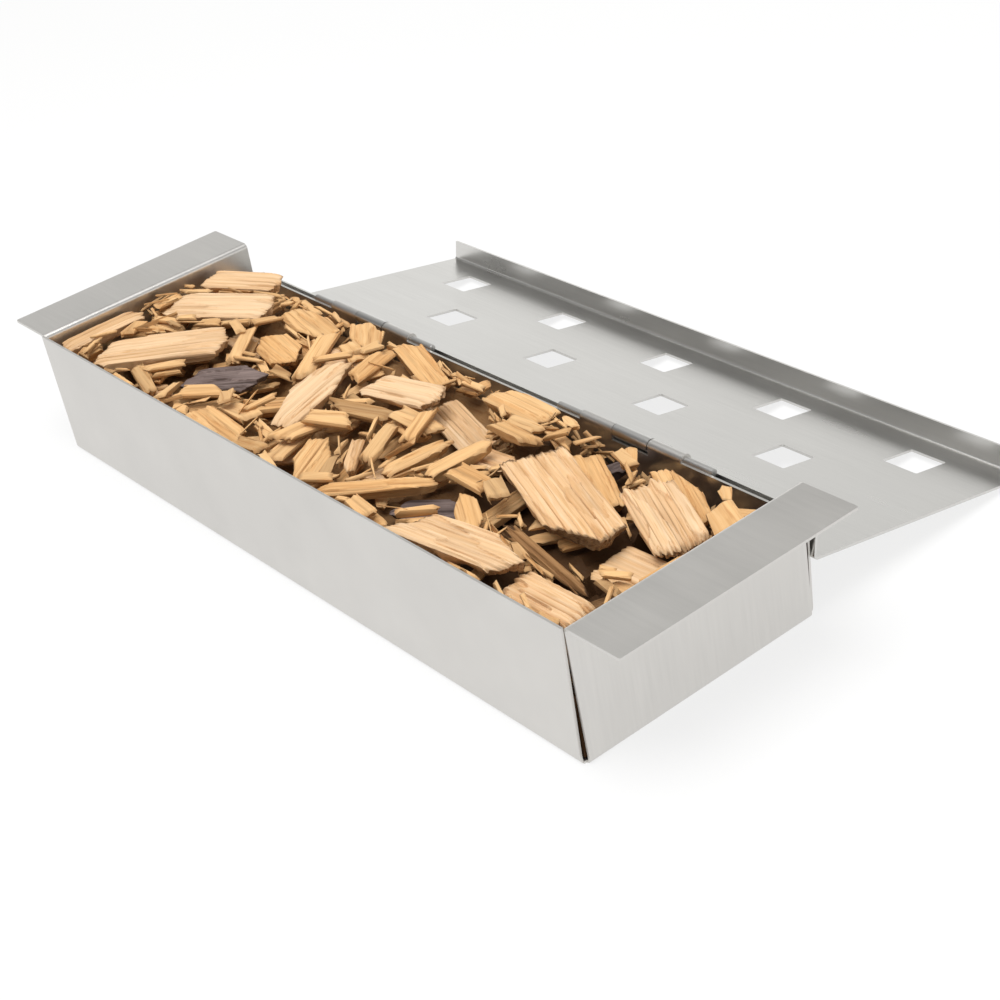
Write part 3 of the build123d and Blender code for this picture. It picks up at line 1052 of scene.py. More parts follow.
        ribs = (
            self.LANE_DEPTH * strength * fall + self.GROOVE_DEPTH * groove
            + self.FIBRE_DEPTH * gap + self.HAIR_DEPTH * hair
        )
        depth = style.rib_mm * ribs + style.step_mm * split_away
        # Painted shade: grooves, gaps between fibres and split-away steps are darkened towards
        # the torn colour.
        shade_and_torn = (
            self.GROOVE_SHADE * groove + self.FIBRE_GAP_SHADE * gap ** 3
            + self.LAYER_STEP_SHADE * split_away
        )
        lane_tone = self.LANE_CONTRAST * (self.noise(self.LANE_TONE, number, x) - 0.5)
        tone = style.tone + lane_tone - self.LAYER_TONE * split_away
        return depth, np.clip(shade_and_torn, 0.0, 1.0), np.clip(tone, 0.0, 1.0)

    def cut_back(
        self, kind: NoiseField, value: np.ndarray, share: np.ndarray, w: np.ndarray
    ) -> np.ndarray:
        """How far a cut side or end lies inside the outline.

        At the top that is a small chamfer, and at the underside a cut that a noise squared
        makes deeper in places, both as shares of the thickness.

        Args:
            kind: The noise.
            value: The noise's value along the cut, in millimetres.
            share: The noise's share the other way.
            w: Each point's share of the height.

        Returns:
            The distance in millimetres.
        """
        undercut = self.UNDERCUT + self.UNDERCUT_SPREAD * self.noise(kind, value, share) ** 2
        return self.body.thickness * (self.CHAMFER * w + undercut * (1.0 - w))

    def faces(
        self, x: np.ndarray, y: np.ndarray, s: np.ndarray, t: np.ndarray, depth: np.ndarray
    ) -> tuple[np.ndarray, np.ndarray]:
        """The heights of the chip's underside and top.

        The top is the solid's thickness less its relief, and less a thinning towards the ends
        and sides. The underside rises a little by fibres of its own and at the ends.

        Args:
            x: Places along the grain.
            y: Places across it.
            s: Each point's share along the chip.
            t: Each point's share across it.
            depth: The relief of the split face.

        Returns:
            The two heights, in millimetres over the chip's underside.
        """
        thick = self.body.thickness
        near_end = self.near_end(s)
        to_side = np.minimum(t, 1.0 - t) * self.width
        near_side = np.clip(1.0 - to_side / self.SIDE_REACH_MM, 0.0, 1.0) ** 2
        lop = self.noise(self.LOP, y, np.where(s < 0.5, 0.0, self.OTHER_END))
        thinned = self.style.thin_end * near_end * (self.LEAST_LOP + lop)
        top = thick - depth - thick * (thinned + self.SIDE_THIN * near_side)
        fibre = self.UNDER_RIB * self.style.rib_mm * self.noise(self.UNDER_FIBRE, x, y)
        under = fibre + self.UNDER_LIFT * thick * near_end * lop
        return under, np.maximum(top, under + self.LEAST_THICK * thick)

    def near_end(self, s: np.ndarray) -> np.ndarray:
        """How near to an end each share along the chip is, from 0 to 1 at the end itself."""
        return np.clip(1.0 - np.minimum(s, 1.0 - s) / self.END_REACH, 0.0, 1.0) ** 2

    def add_to(self, batch: MeshBatch) -> None:
        """Work out the chip's surface and add it to a batch.

        Share t gives y between the outline's sides, share s runs along the fibre line there,
        and share w runs from underside to top. Sides and ends are cut back. A bend lowers the
        middle of a splinter.

        Args:
            batch: Where the chip goes.
        """
        shares, quads = self.grid()
        s, t, w = shares.T
        y = self.low[1] + self.width * (self.SIDE_INSET + (1.0 - 2 * self.SIDE_INSET) * t)
        start, stop = self.ends(y, w)
        end_cut = np.minimum(
            self.cut_back(self.END_CUT, y, s, w), self.MOST_END_CUT * self.length
        )
        x = start + (stop - start) * s + end_cut * (1.0 - 2.0 * s)
        depth, shade_and_torn, tone = self.relief(x, y)
        side_cut = np.minimum(
            self.cut_back(self.SIDE_CUT, x, t, w), self.MOST_SIDE_CUT * self.width
        )
        y = y + side_cut * (1.0 - 2.0 * t)
        under, top = self.faces(x, y, s, t, depth)
        z = under + (top - under) * w
        side = np.minimum(t, 1.0 - t) < TINY
        rough = self.ROUGH_MM * np.abs(self.noise(self.SIDE_ROUGH, x, z) - 0.5)
        y = y + np.where(side, np.sign(0.5 - t) * rough, 0.0)
        hair = self.noise(self.CUT_HAIR, x, y, z)
        bend = self.style.bend_mm * (1.0 - (2.0 * s - 1.0) ** 2)
        local = np.c_[x, y, z - bend]
        placed = self.body.world(local)
        shade = np.c_[
            self.shades_and_torn_ends(shade_and_torn, hair, shares), tone, self.burns_and_depth_shade(hair, s, placed[:, 2])
        ]
        steps = (self.seed * self.GOLDEN_SHARE) % 1.0 + self.seed % self.GRAIN_STEPS
        batch.add(placed * MM, quads, local + steps * np.array(self.GRAIN_STEP), shade)

    def shades_and_torn_ends(self, shade_and_torn: np.ndarray, hair: np.ndarray, shares: np.ndarray) -> np.ndarray:
        """How much of the torn wood's colour each point shows.

        The split face keeps its painted shade of grooves, fibre gaps and split steps. A cut side
        shows some real torn colour by a fine noise, a torn end more, and the underside an even
        share of painted shade.

        Args:
            shade_and_torn: The painted shade of the split face.
            hair: The fine noise.
            shares: The points' shares along, across and up.

        Returns:
            The hollows, from 0 to 1.
        """
        s, t, w = shares.T
        end, side = np.minimum(s, 1.0 - s) < TINY, np.minimum(t, 1.0 - t) < TINY
        least, more = self.SIDE_HOLLOW
        shade_and_torn = np.where(end | side, least + more * hair, shade_and_torn)
        least, more = self.END_HOLLOW
        shade_and_torn = np.where(end & ~side, least + more * hair, shade_and_torn)
        # Painted shade: the underside is darkened evenly.
        return np.where(w < self.UNDERSIDE, self.UNDERSIDE_SHADE, shade_and_torn)

    def burns_and_depth_shade(self, hair: np.ndarray, s: np.ndarray, height: np.ndarray) -> np.ndarray:
        """How dark each point is: singed at the ends, and darker by painted shade the deeper it
        lies.

        Args:
            hair: A fine noise, which frays the singed part.
            s: Each point's share along the chip.
            height: Each point's height over the floor, in millimetres.

        Returns:
            The darkness, from 0 to 1.
        """
        rising = self.BURN_RISE * self.near_end(s) - self.BURN_FROM
        frayed = np.clip(rising + self.BURN_FRAY * (hair - 0.5), 0.0, 1.0)
        end = np.minimum(s, 1.0 - s) < TINY
        singed = self.style.burn_and_shade * (self.END_BURN + (1.0 - self.END_BURN) * hair)
        burn_and_shade = np.where(end, singed, self.style.burn_and_shade * frayed)
        # Painted shade: points lower in the heap are darkened the deeper they lie, on top of the
        # real singeing.
        deep = np.clip((self.SHADE_BELOW - height) / self.SHADE_RANGE, 0.0, 1.0)
        dark = np.maximum(burn_and_shade, self.MOST_DEPTH_SHADE * deep)
        return dark * (1.0 - self.style.aged) + self.style.aged


class Heap:
    """The chips laid so far, as two heights for each square cell of the tray's floor.

    One is the lowest underside above the cell. The other is the highest top, or no limit where
    a chip lies that nothing may cover. Sizes are in millimetres, and x runs to the near end.
    """

    CELL = 1.0
    GAP = 0.3
    SINK = 0.6
    MARGIN = 0.9
    TUCK = 2.2
    TUCK_SHARE = 0.33
    TOP_GAP = 1.2
    HEAPED = 5.0
    HEAPED_FROM = 85.0
    HEAPED_OVER = 30.0
    FALLEN = 9.0
    FALLEN_FROM = 55.0
    FALLEN_OVER = 40.0
    FALLEN_BAND = 20.0
    REAR_RISE = 0.8
    REAR_FILL = 4.5
    REAR_SLOPE = 0.85

    def __init__(self, half: np.ndarray, ceiling: float, rear_rim: float) -> None:
        """Start empty.

        The highest place that small pieces may reach is a little under the ceiling, and falls
        to the low rear wall. The height to fill up to rises towards the far end, and is lower
        along the near part of the rear wall.

        Args:
            half: Half the floor's length and width, in millimetres.
            ceiling: How high the chips may come.
            rear_rim: The height of the rear wall.
        """
        self.half = half
        self.x = np.arange(-half[0], half[0], self.CELL)
        self.y = np.arange(-half[1], half[1], self.CELL)
        self.above = np.full((len(self.x), len(self.y)), ceiling)
        self.surface = np.zeros_like(self.above)
        at_rear = rear_rim + self.REAR_SLOPE * (half[1] - self.y)[None, :]
        self.highest = np.minimum(self.above - self.TOP_GAP, at_rear + self.REAR_RISE)
        heaped = np.clip((-self.x - self.HEAPED_FROM) / self.HEAPED_OVER, 0.0, 1.0)[:, None]
        fallen = np.clip((self.x - self.FALLEN_FROM) / self.FALLEN_OVER, 0.0, 1.0)[:, None]
        to_rear = np.clip((self.y - half[1]) / self.FALLEN_BAND + 1.0, 0.0, 1.0)[None, :]
        self.fill = np.minimum(ceiling + self.HEAPED * heaped, at_rear + self.REAR_FILL)
        self.fill = self.fill - self.FALLEN * fallen * to_rear

    def window(
        self, corners: np.ndarray, margin: float
    ) -> tuple[slice, slice, np.ndarray, np.ndarray, np.ndarray]:
        """Find the cells under a flat outline.

        Args:
            corners: The outline's corners, anticlockwise.
            margin: How far past the outline a cell still counts.

        Returns:
            The cells' two slices, their x and y, and which of them are inside.
        """
        low, high = corners.min(axis=0) - margin, corners.max(axis=0) + margin
        i = slice(*np.clip(np.searchsorted(self.x, (low[0], high[0])), 0, len(self.x)))
        j = slice(*np.clip(np.searchsorted(self.y, (low[1], high[1])), 0, len(self.y)))
        gx, gy = np.meshgrid(self.x[i], self.y[j], indexing="ij")
        inside = np.full(gx.shape, True)
        for (x0, y0), (x1, y1) in zip(corners, np.roll(corners, -1, axis=0)):
            side = max(math.hypot(x1 - x0, y1 - y0), TINY)
            inside &= ((gx - x0) * (y1 - y0) - (gy - y0) * (x1 - x0)) / side < margin
        return i, j, gx, gy, inside

    def lay(self, body: ChipBody, coverable: bool) -> None:
        """Take in a chip that was laid.

        Args:
            body: The chip.
            coverable: Whether others may lie on it.
        """
        flat = np.c_[body.outline, np.zeros(len(body.outline))]
        i, j, gx, gy, inside = self.window(convex_ring(body.world(flat)[:, :2]), self.MARGIN)
        normal = body.axes[2]
        rise = ((gx - body.origin[0]) * normal[0] + (gy - body.origin[1]) * normal[1]) / normal[2]
        under = body.origin[2] - rise
        top = under + body.thickness / normal[2] if coverable else np.inf
        self.above[i, j] = np.where(
            inside, np.minimum(self.above[i, j], under - self.GAP), self.above[i, j]
        )
        self.surface[i, j] = np.where(
            inside, np.maximum(self.surface[i, j], top), self.surface[i, j]
        )

    def rest(
        self, centre: np.ndarray, turn: float, size: np.ndarray, slope: np.ndarray
    ) -> float:
        """Find how high the top of a small chip comes where it rests on the others.

        Args:
            centre: Its middle, x and y.
            turn: The way of its grain, in radians.
            size: Its length, width and thickness.
            slope: How much it rises for each millimetre along x and y.

        Returns:
            The height of the middle of its top, or infinity where it may not lie.
        """
        flat = np.array([(-1, -1), (1, -1), (1, 1), (-1, 1)]) * size[:2] / 2
        cos, sin = math.cos(turn), math.sin(turn)
        corners = centre + flat @ np.array([[cos, sin], [-sin, cos]])
        if np.any(np.abs(corners) > self.half):
            return math.inf
        i, j, gx, gy, inside = self.window(corners, -min(self.TUCK, self.TUCK_SHARE * size[1]))
        if not inside.any():
            return math.inf
        lean = (gx - centre[0]) * slope[0] + (gy - centre[1]) * slope[1]
        height = float(np.max((self.surface[i, j] - lean)[inside])) + size[2] - self.SINK
        tops = height + (corners - centre) @ slope
        fits = np.all(tops < self.at(self.highest, corners[:, 0], corners[:, 1]))
        return height if fits else math.inf

    def lowest_near(self, reach: int) -> np.ndarray:
        """Find the lowest room near each cell.

        Args:
            reach: How many cells away still counts, both ways.

        Returns:
            The lowest room for each cell, in millimetres.
        """
        lowest = self.above
        for axis in (0, 1):
            shifted = [np.roll(lowest, step, axis=axis) for step in range(-reach, reach + 1)]
            lowest = np.min(shifted, axis=0)
        return lowest

    def at(self, heights: np.ndarray, x: np.ndarray, y: np.ndarray) -> np.ndarray:
        """Read heights at places.

        Args:
            heights: One height for each cell.
            x: The places' x, in millimetres.
            y: The places' y.

        Returns:
            The height of the cell at each place.
        """
        i = np.clip(np.searchsorted(self.x, x), 0, len(self.x) - 1)
        j = np.clip(np.searchsorted(self.y, y), 0, len(self.y) - 1)
        return heights[i, j]


@dataclass(frozen=True)
class Litter:
    """One sort of small chip or splinter that lies in the gaps between the others.

    Sizes are in millimetres, each from its lowest to its highest. The depth is how far a
    chip's top lies at least under the height that the load is filled up to.
    """

    count: int
    length: tuple[float, float]
    width: tuple[float, float]
    thickness: tuple[float, float]
    depth: tuple[float, float]
    lean_deg: float
    tries: int
    seed: int
    bend_share: float = 0.0
    grid: tuple[int, int, int] = (6, 3, 2)

    MOST_SKEW = 0.45
    RIB_SHARE = 0.12
    STEP_SHARE = 0.15
    TORN_SHARE = 0.12
    TONES = (0.2, 1.3)
    BURNS = (0.0, 0.4)
    AGES = (-1.4, 0.4)
    BENDS = (-0.5, 1.0)
    SEEDS_APART = 1000

    def scatter(self, heap: Heap) -> list[tuple[ChipBody, ChipStyle]]:
        """Lay the chips in the open gaps, each where it lies deepest of a few places.

        Args:
            heap: The chips laid so far, which these rest on.

        Returns:
            The chips' bodies and styles.
        """
        random = np.random.default_rng(self.seed)
        made = []
        for _ in range(self.count):
            size = np.array([
                random.uniform(*self.length), random.uniform(*self.width),
                random.uniform(*self.thickness),
            ])
            slope = np.tan(np.radians(random.uniform(-self.lean_deg, self.lean_deg, 2)))
            sunk = random.uniform(*self.depth)
            gaps = np.argwhere(heap.surface < heap.fill - self.depth[1])
            if len(gaps) == 0:
                break
            best = (0.0, None, 0.0, 0.0)
            for _ in range(self.tries):
                i, j = gaps[random.integers(len(gaps))]
                centre = np.array([heap.x[i], heap.y[j]])
                turn = random.uniform(0, math.pi)
                height = heap.rest(centre, turn, size, slope)
                spare = heap.fill[i, j] - sunk - height
                if spare > best[0]:
                    best = (spare, centre, turn, height)
            _, centre, turn, height = best
            if centre is None:
                continue
            skew = random.uniform(-self.MOST_SKEW, self.MOST_SKEW, 4)
            body = self.body(centre, turn, size, slope, height, skew)
            heap.lay(body, coverable=True)
            made.append((body, self.style(size, random)))
        LOG.info("%d of %d small pieces found room", len(made), self.count)
        return made

    def style(self, size: np.ndarray, random: np.random.Generator) -> ChipStyle:
        """Give a small chip's style.

        Args:
            size: Its length, width and thickness.
            random: Where its tone, its singed ends, its age and its bend are drawn from.

        Returns:
            The style.
        """
        length, _, thickness = size
        return ChipStyle(
            rib_mm=self.RIB_SHARE * thickness, rib_pitch=1.5,
            step_mm=self.STEP_SHARE * thickness, torn_mm=self.TORN_SHARE * length, thin_end=0.5,
            tone=random.uniform(*self.TONES), burn_and_shade=random.uniform(*self.BURNS),
            aged=max(random.uniform(*self.AGES), 0.0),
            bend_mm=self.bend_share * length * random.uniform(*self.BENDS), grid=self.grid,
        )

    def add_to(self, batch: MeshBatch, heap: Heap) -> None:
        """Lay the chips and add them to a batch.

        Args:
            batch: Where the chips go.
            heap: The chips laid so far.
        """
        for seed, (body, style) in enumerate(self.scatter(heap), self.SEEDS_APART * self.seed):
            SplitChip(body, style, seed).add_to(batch)

    @staticmethod
    def body(
        centre: np.ndarray, turn: float, size: np.ndarray, slope: np.ndarray, height: float,
        skew: np.ndarray,
    ) -> ChipBody:
        """Give a small chip's body.

        Args:
            centre: Its middle, x and y, in millimetres.
            turn: The way of its grain, in radians.
            size: Its length, width and thickness.
            slope: How much it rises for each millimetre along x and y.
            height: The height of the middle of its top.
            skew: How far its two ends slant and its two sides close in, as shares.

        Returns:
            The chip's body.
        """
        z_axis = np.array([-slope[0], -slope[1], 1.0])
        z_axis /= np.linalg.norm(z_axis)
        rise = slope[0] * math.cos(turn) + slope[1] * math.sin(turn)
        x_axis = np.array([math.cos(turn), math.sin(turn), rise])
        x_axis /= np.linalg.norm(x_axis)
        axes = np.array([x_axis, np.cross(z_axis, x_axis), z_axis])
        origin = np.array([*centre, height]) - z_axis * size[2]
        left, right, lower, upper = skew
        ring = np.array([
            (-1 + max(left, 0.0), -1 + abs(lower)), (1 - max(right, 0.0), -1),
            (1 + min(right, 0.0), 1 - abs(upper)), (-1 - min(left, 0.0), 1),
        ])
        return ChipBody(origin, axes, ring * size[:2] / 2, float(size[2]))


# The load's own styles
RIBBED = ChipStyle(
    rib_mm=1.25, rib_pitch=3.6, step_mm=0.5, torn_mm=1.6, thin_end=0.1, tone=0.3, burn_and_shade=0.9,
    cell_mm=0.42, wood=Wood.PALE, sway=0.2,
)
NEAR_SLAB = ChipStyle(
    rib_mm=0.8, rib_pitch=2.3, step_mm=0.6, torn_mm=3.2, thin_end=0.25, tone=0.6, burn_and_shade=0.5,
    cell_mm=0.42, wood=Wood.PALE,
)
NEAR_CHIP = ChipStyle(
    rib_mm=0.6, rib_pitch=1.9, step_mm=0.9, torn_mm=4.0, thin_end=0.4, tone=0.6, burn_and_shade=0.35,
    cell_mm=0.42, wood=Wood.PALE,
)
FIBROUS = ChipStyle(
    rib_mm=0.9, rib_pitch=1.1, step_mm=0.9, torn_mm=3.6, thin_end=0.4, tone=0.25, burn_and_shade=0.3,
    cell_mm=0.42, wood=Wood.PALE,
)
TWIG = ChipStyle(
    rib_mm=3.0, rib_pitch=1.9, step_mm=0.2, torn_mm=11.0, thin_end=0.2, tone=0.1, burn_and_shade=0.8,
    cell_mm=0.28, wood=Wood.BROWN, sway=0.25,
)
STICK = ChipStyle(
    rib_mm=0.9, rib_pitch=1.3, step_mm=0.4, torn_mm=2.6, thin_end=0.3, tone=0.6, burn_and_shade=0.4,
    cell_mm=0.45, wood=Wood.BROWN,
)
FLAKE = ChipStyle(
    rib_mm=0.7, step_mm=0.8, torn_mm=2.0, thin_end=0.3, cell_mm=0.55, wood=Wood.BARK
)
CLEAN_SLAB = ChipStyle(
    rib_mm=0.5, rib_pitch=3.0, step_mm=0.5, torn_mm=2.4, thin_end=0.2, tone=0.9, burn_and_shade=0.1,
    wood=Wood.PALE,
)
MIDDLE_SLAB = ChipStyle(
    rib_mm=0.5, step_mm=0.7, torn_mm=2.8, thin_end=0.3, tone=0.8, burn_and_shade=0.1, cell_mm=0.5,
    wood=Wood.PALE,
)
YELLOW_CHIP = ChipStyle(
    rib_mm=0.5, rib_pitch=2.2, step_mm=0.5, torn_mm=2.6, thin_end=0.3, burn_and_shade=0.2, cell_mm=0.5
)


@dataclass
class Load:
    """The load of wood chips, from the large ones that show down to the settled heap."""

    lid_room: float = 0.4
    bed_depth: float = 13.0
    bed_reach: int = 6
    bed_floor: float = 1.3
    bed_grid: tuple[int, int, int] = (180, 56, 4)
    # Painted shade of the deep heap: its even crease share, and its depth darkening from the far
    # end to the near end.
    bed_hollow_shade: float = 0.6
    bed_depth_shade: tuple[float, float] = (0.5, 0.96)
    shade_from: float = 20.0
    shade_over: float = 40.0
    sharp_deg: float = 38.0
    woods: dict[Wood, bpy.types.Material] = field(default_factory=dict)

    SHEET_NODES = ("tray", "lid", "hinge_pins")
    HEAP_NODES = ("chip_bed", "small_chips")
    COVERED = "under_chip"
    FIRST_SMALL = 100
    BED_LUMPS = ((1.6, 4.0, 3), (0.9, 1.5, 4))
    STYLES = {
        "ribbed_slab": RIBBED,
        "front_slab": NEAR_SLAB,
        "pale_near_chip": NEAR_CHIP,
        "fibrous_corner_chip": FIBROUS,
        "split_twig": TWIG,
        "corner_stick": STICK,
        "bark_flake": FLAKE,
        "middle_bark": FLAKE,
        "rear_bark_stick": replace(FLAKE, rib_pitch=2.0, step_mm=0.6, torn_mm=1.6, tone=0.3),
        "white_middle_slab": replace(
            MIDDLE_SLAB, rib_mm=0.4, rib_pitch=2.8, step_mm=0.6, torn_mm=2.6, tone=1.0
        ),
        "pale_middle_slab": MIDDLE_SLAB,
        "far_left_slab": replace(CLEAN_SLAB, rib_pitch=3.4, tone=0.6),
        "far_cross_slab": replace(CLEAN_SLAB, rib_pitch=3.4, tone=0.7),
        "far_rear_slab": CLEAN_SLAB,
        "far_right_slab": replace(CLEAN_SLAB, tone=0.5),
        "yellow_rear_chip": YELLOW_CHIP,
    }
    FILLING = (
        Litter(
            count=240, length=(18, 34), width=(7.0, 12.0), thickness=(2.2, 4.0), depth=(2.2, 5.0),
            lean_deg=9, tries=60, seed=4, grid=(14, 9, 3),
        ),
        Litter(
            count=400, length=(13, 24), width=(4.5, 8.5), thickness=(1.6, 3.2), depth=(3.0, 7.0),
            lean_deg=8, tries=40, seed=5, grid=(8, 4, 2),
        ),
    )
    LITTER = (
        Litter(
            count=160, length=(5, 12), width=(1.4, 3.2), thickness=(0.9, 1.8), depth=(8.0, 12.0),
            lean_deg=12, tries=24, seed=9, bend_share=0.05,
        ),
        Litter(
            count=400, length=(7, 14), width=(2.8, 5.0), thickness=(1.0, 2.2), depth=(4.0, 9.0),
            lean_deg=10, tries=24, seed=7,
        ),
        Litter(
            count=80, length=(8, 18), width=(2.0, 4.0), thickness=(0.5, 0.9), depth=(3.5, 6.5),
            lean_deg=14, tries=8, seed=6, bend_share=0.16, grid=(9, 3, 2),
        ),
        Litter(
            count=110, length=(8, 20), width=(0.7, 1.7), thickness=(0.5, 1.0), depth=(3.5, 6.5),
            lean_deg=14, tries=6, seed=8, bend_share=0.06,
        ),
    )

    def build(self) -> None:
        """Build every chip and the heap under them."""
        self.woods = {wood: finish.make() for wood, finish in WOODS.items()}
        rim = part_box("tray")[1].z / MM
        rear_rim = sum(corner.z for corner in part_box("hinge_pins")) / 2 / MM
        half = np.array(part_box("chip_bed")[1])[:2] / MM
        heap = Heap(half, rim - self.lid_room, rear_rim)
        single = set(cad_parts) - {*self.SHEET_NODES, *self.HEAP_NODES}
        for seed, name in enumerate(sorted(single), start=1):
            heap.lay(self.large_chip(name, seed), coverable=name.startswith(self.COVERED))
        small = ChipBody.all_of("small_chips")
        for body in small:
            heap.lay(body, coverable=True)
        bed = np.minimum(heap.lowest_near(self.bed_reach), heap.fill - self.bed_depth)
        heap.surface = np.maximum(heap.surface, bed)
        self.deep_heap(heap, bed)
        self.small_chips(small, heap)

    def finish_piece(self, batch: MeshBatch, node: str, wood: Wood) -> None:
        """Make a batch one object that stands for a node.

        Args:
            batch: The chips.
            node: The node's name.
            wood: The wood they show.
        """
        made = batch.make(f"{node}_wood", self.woods[wood], self.sharp_deg)
        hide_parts(node)
        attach(made, TRAY_BODY)
        LOG.info("%s: %d faces", made.name, len(made.data.polygons))

    @staticmethod
    def spread(seed: int, factor: float, low: float, high: float) -> float:
        """Spread a chip's value evenly over a range, by the fraction of seed times factor."""
        return low + (high - low) * ((seed * factor) % 1.0)

    def large_chip(self, node: str, seed: int) -> ChipBody:
        """Build the chip that stands for one chip node.

        Args:
            node: The node's name.
            seed: Which random fields it takes.

        Returns:
            The chip's body.
        """
        body = ChipBody.all_of(node)[0]
        plain = ChipStyle(
            rib_mm=self.spread(seed, 0.37, 0.35, 0.65),
            rib_pitch=self.spread(seed, 0.71, 1.7, 3.3),
            tone=self.spread(seed, 0.53, 0.05, 0.80),
            burn_and_shade=self.spread(seed, 0.29, 0.0, 0.45),
            wood=Wood.PALE if seed % 3 == 0 else Wood.TAN,
        )
        style = self.STYLES.get(node, plain)
        batch = MeshBatch()
        SplitChip(body, style, seed).add_to(batch)
        self.finish_piece(batch, node, style.wood)
        return body

    def small_chips(self, bodies: list[ChipBody], heap: Heap) -> None:
        """Build the small chips over their solids, and fill the gaps left with litter.

        Args:
            bodies: The small chips' solids.
            heap: The room left.
        """
        batch = MeshBatch()
        for seed, body in enumerate(bodies, start=self.FIRST_SMALL):
            style = ChipStyle(
                rib_mm=0.3, rib_pitch=1.6, step_mm=0.3, torn_mm=1.6, cell_mm=1.1,
                tone=self.spread(seed, 0.618, 0.0, 1.0), burn_and_shade=self.spread(seed, 0.37, 0.0, 0.4),
            )
            SplitChip(body, style, seed).add_to(batch)
        for kind in self.LITTER:
            kind.add_to(batch, heap)
        self.finish_piece(batch, "small_chips", Wood.TAN)

    def deep_heap(self, heap: Heap, bed: np.ndarray) -> None:
        """Build the settled heap under the chips, and the chips that fill its pits.

        A block from the floor up. At each share s and t its top is the deep heap's height, less
        noise of a few millimetres at two scales. Its colour is painted shade, darkest at the near
        end.

        Args:
            heap: The grid that the heights belong to.
            bed: The height of the deep heap.
        """
        shares, quads = BlockShell(*self.bed_grid).build()
        s, t, w = shares.T
        x, y = (2 * s - 1) * heap.half[0], (2 * t - 1) * heap.half[1]
        flat = np.c_[x, y, 0 * x]
        top = heap.at(bed, x, y)
        for height, cell, seed in self.BED_LUMPS:
            top = top - height * value_noise(flat / cell, seed)
        points = np.c_[x, y, self.bed_floor + (top - self.bed_floor) * w]
        # Painted shade: the deep heap is darkened, most at the near end.
        near = np.clip((x - self.shade_from) / self.shade_over, 0.0, 1.0)
        far_shade, near_shade = self.bed_depth_shade
        shade = np.c_[self.bed_hollow_shade + 0 * x, 0 * x, far_shade + (near_shade - far_shade) * near]
        batch = MeshBatch()
        batch.add(points * MM, quads, points, shade)
        for kind in self.FILLING:
            kind.add_to(batch, heap)
        self.finish_piece(batch, "chip_bed", Wood.TAN)


# Sheet metal
@dataclass
class SheetMetal:
    """The tray, the lid and the hinge pins, which keep their solids and get their steel."""

    finishes: tuple[tuple[str, SteelFinish], ...] = (
        ("tray", SHEET), ("lid", LID_SHEET), ("hinge_pins", WIRE),
    )

    def build(self) -> None:
        """Dress the three carried-over nodes."""
        for node, finish in self.finishes:
            material = finish.make()
            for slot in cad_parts[node].material_slots:
                slot.material = material
            LOG.info("%s: %s", node, finish.name)


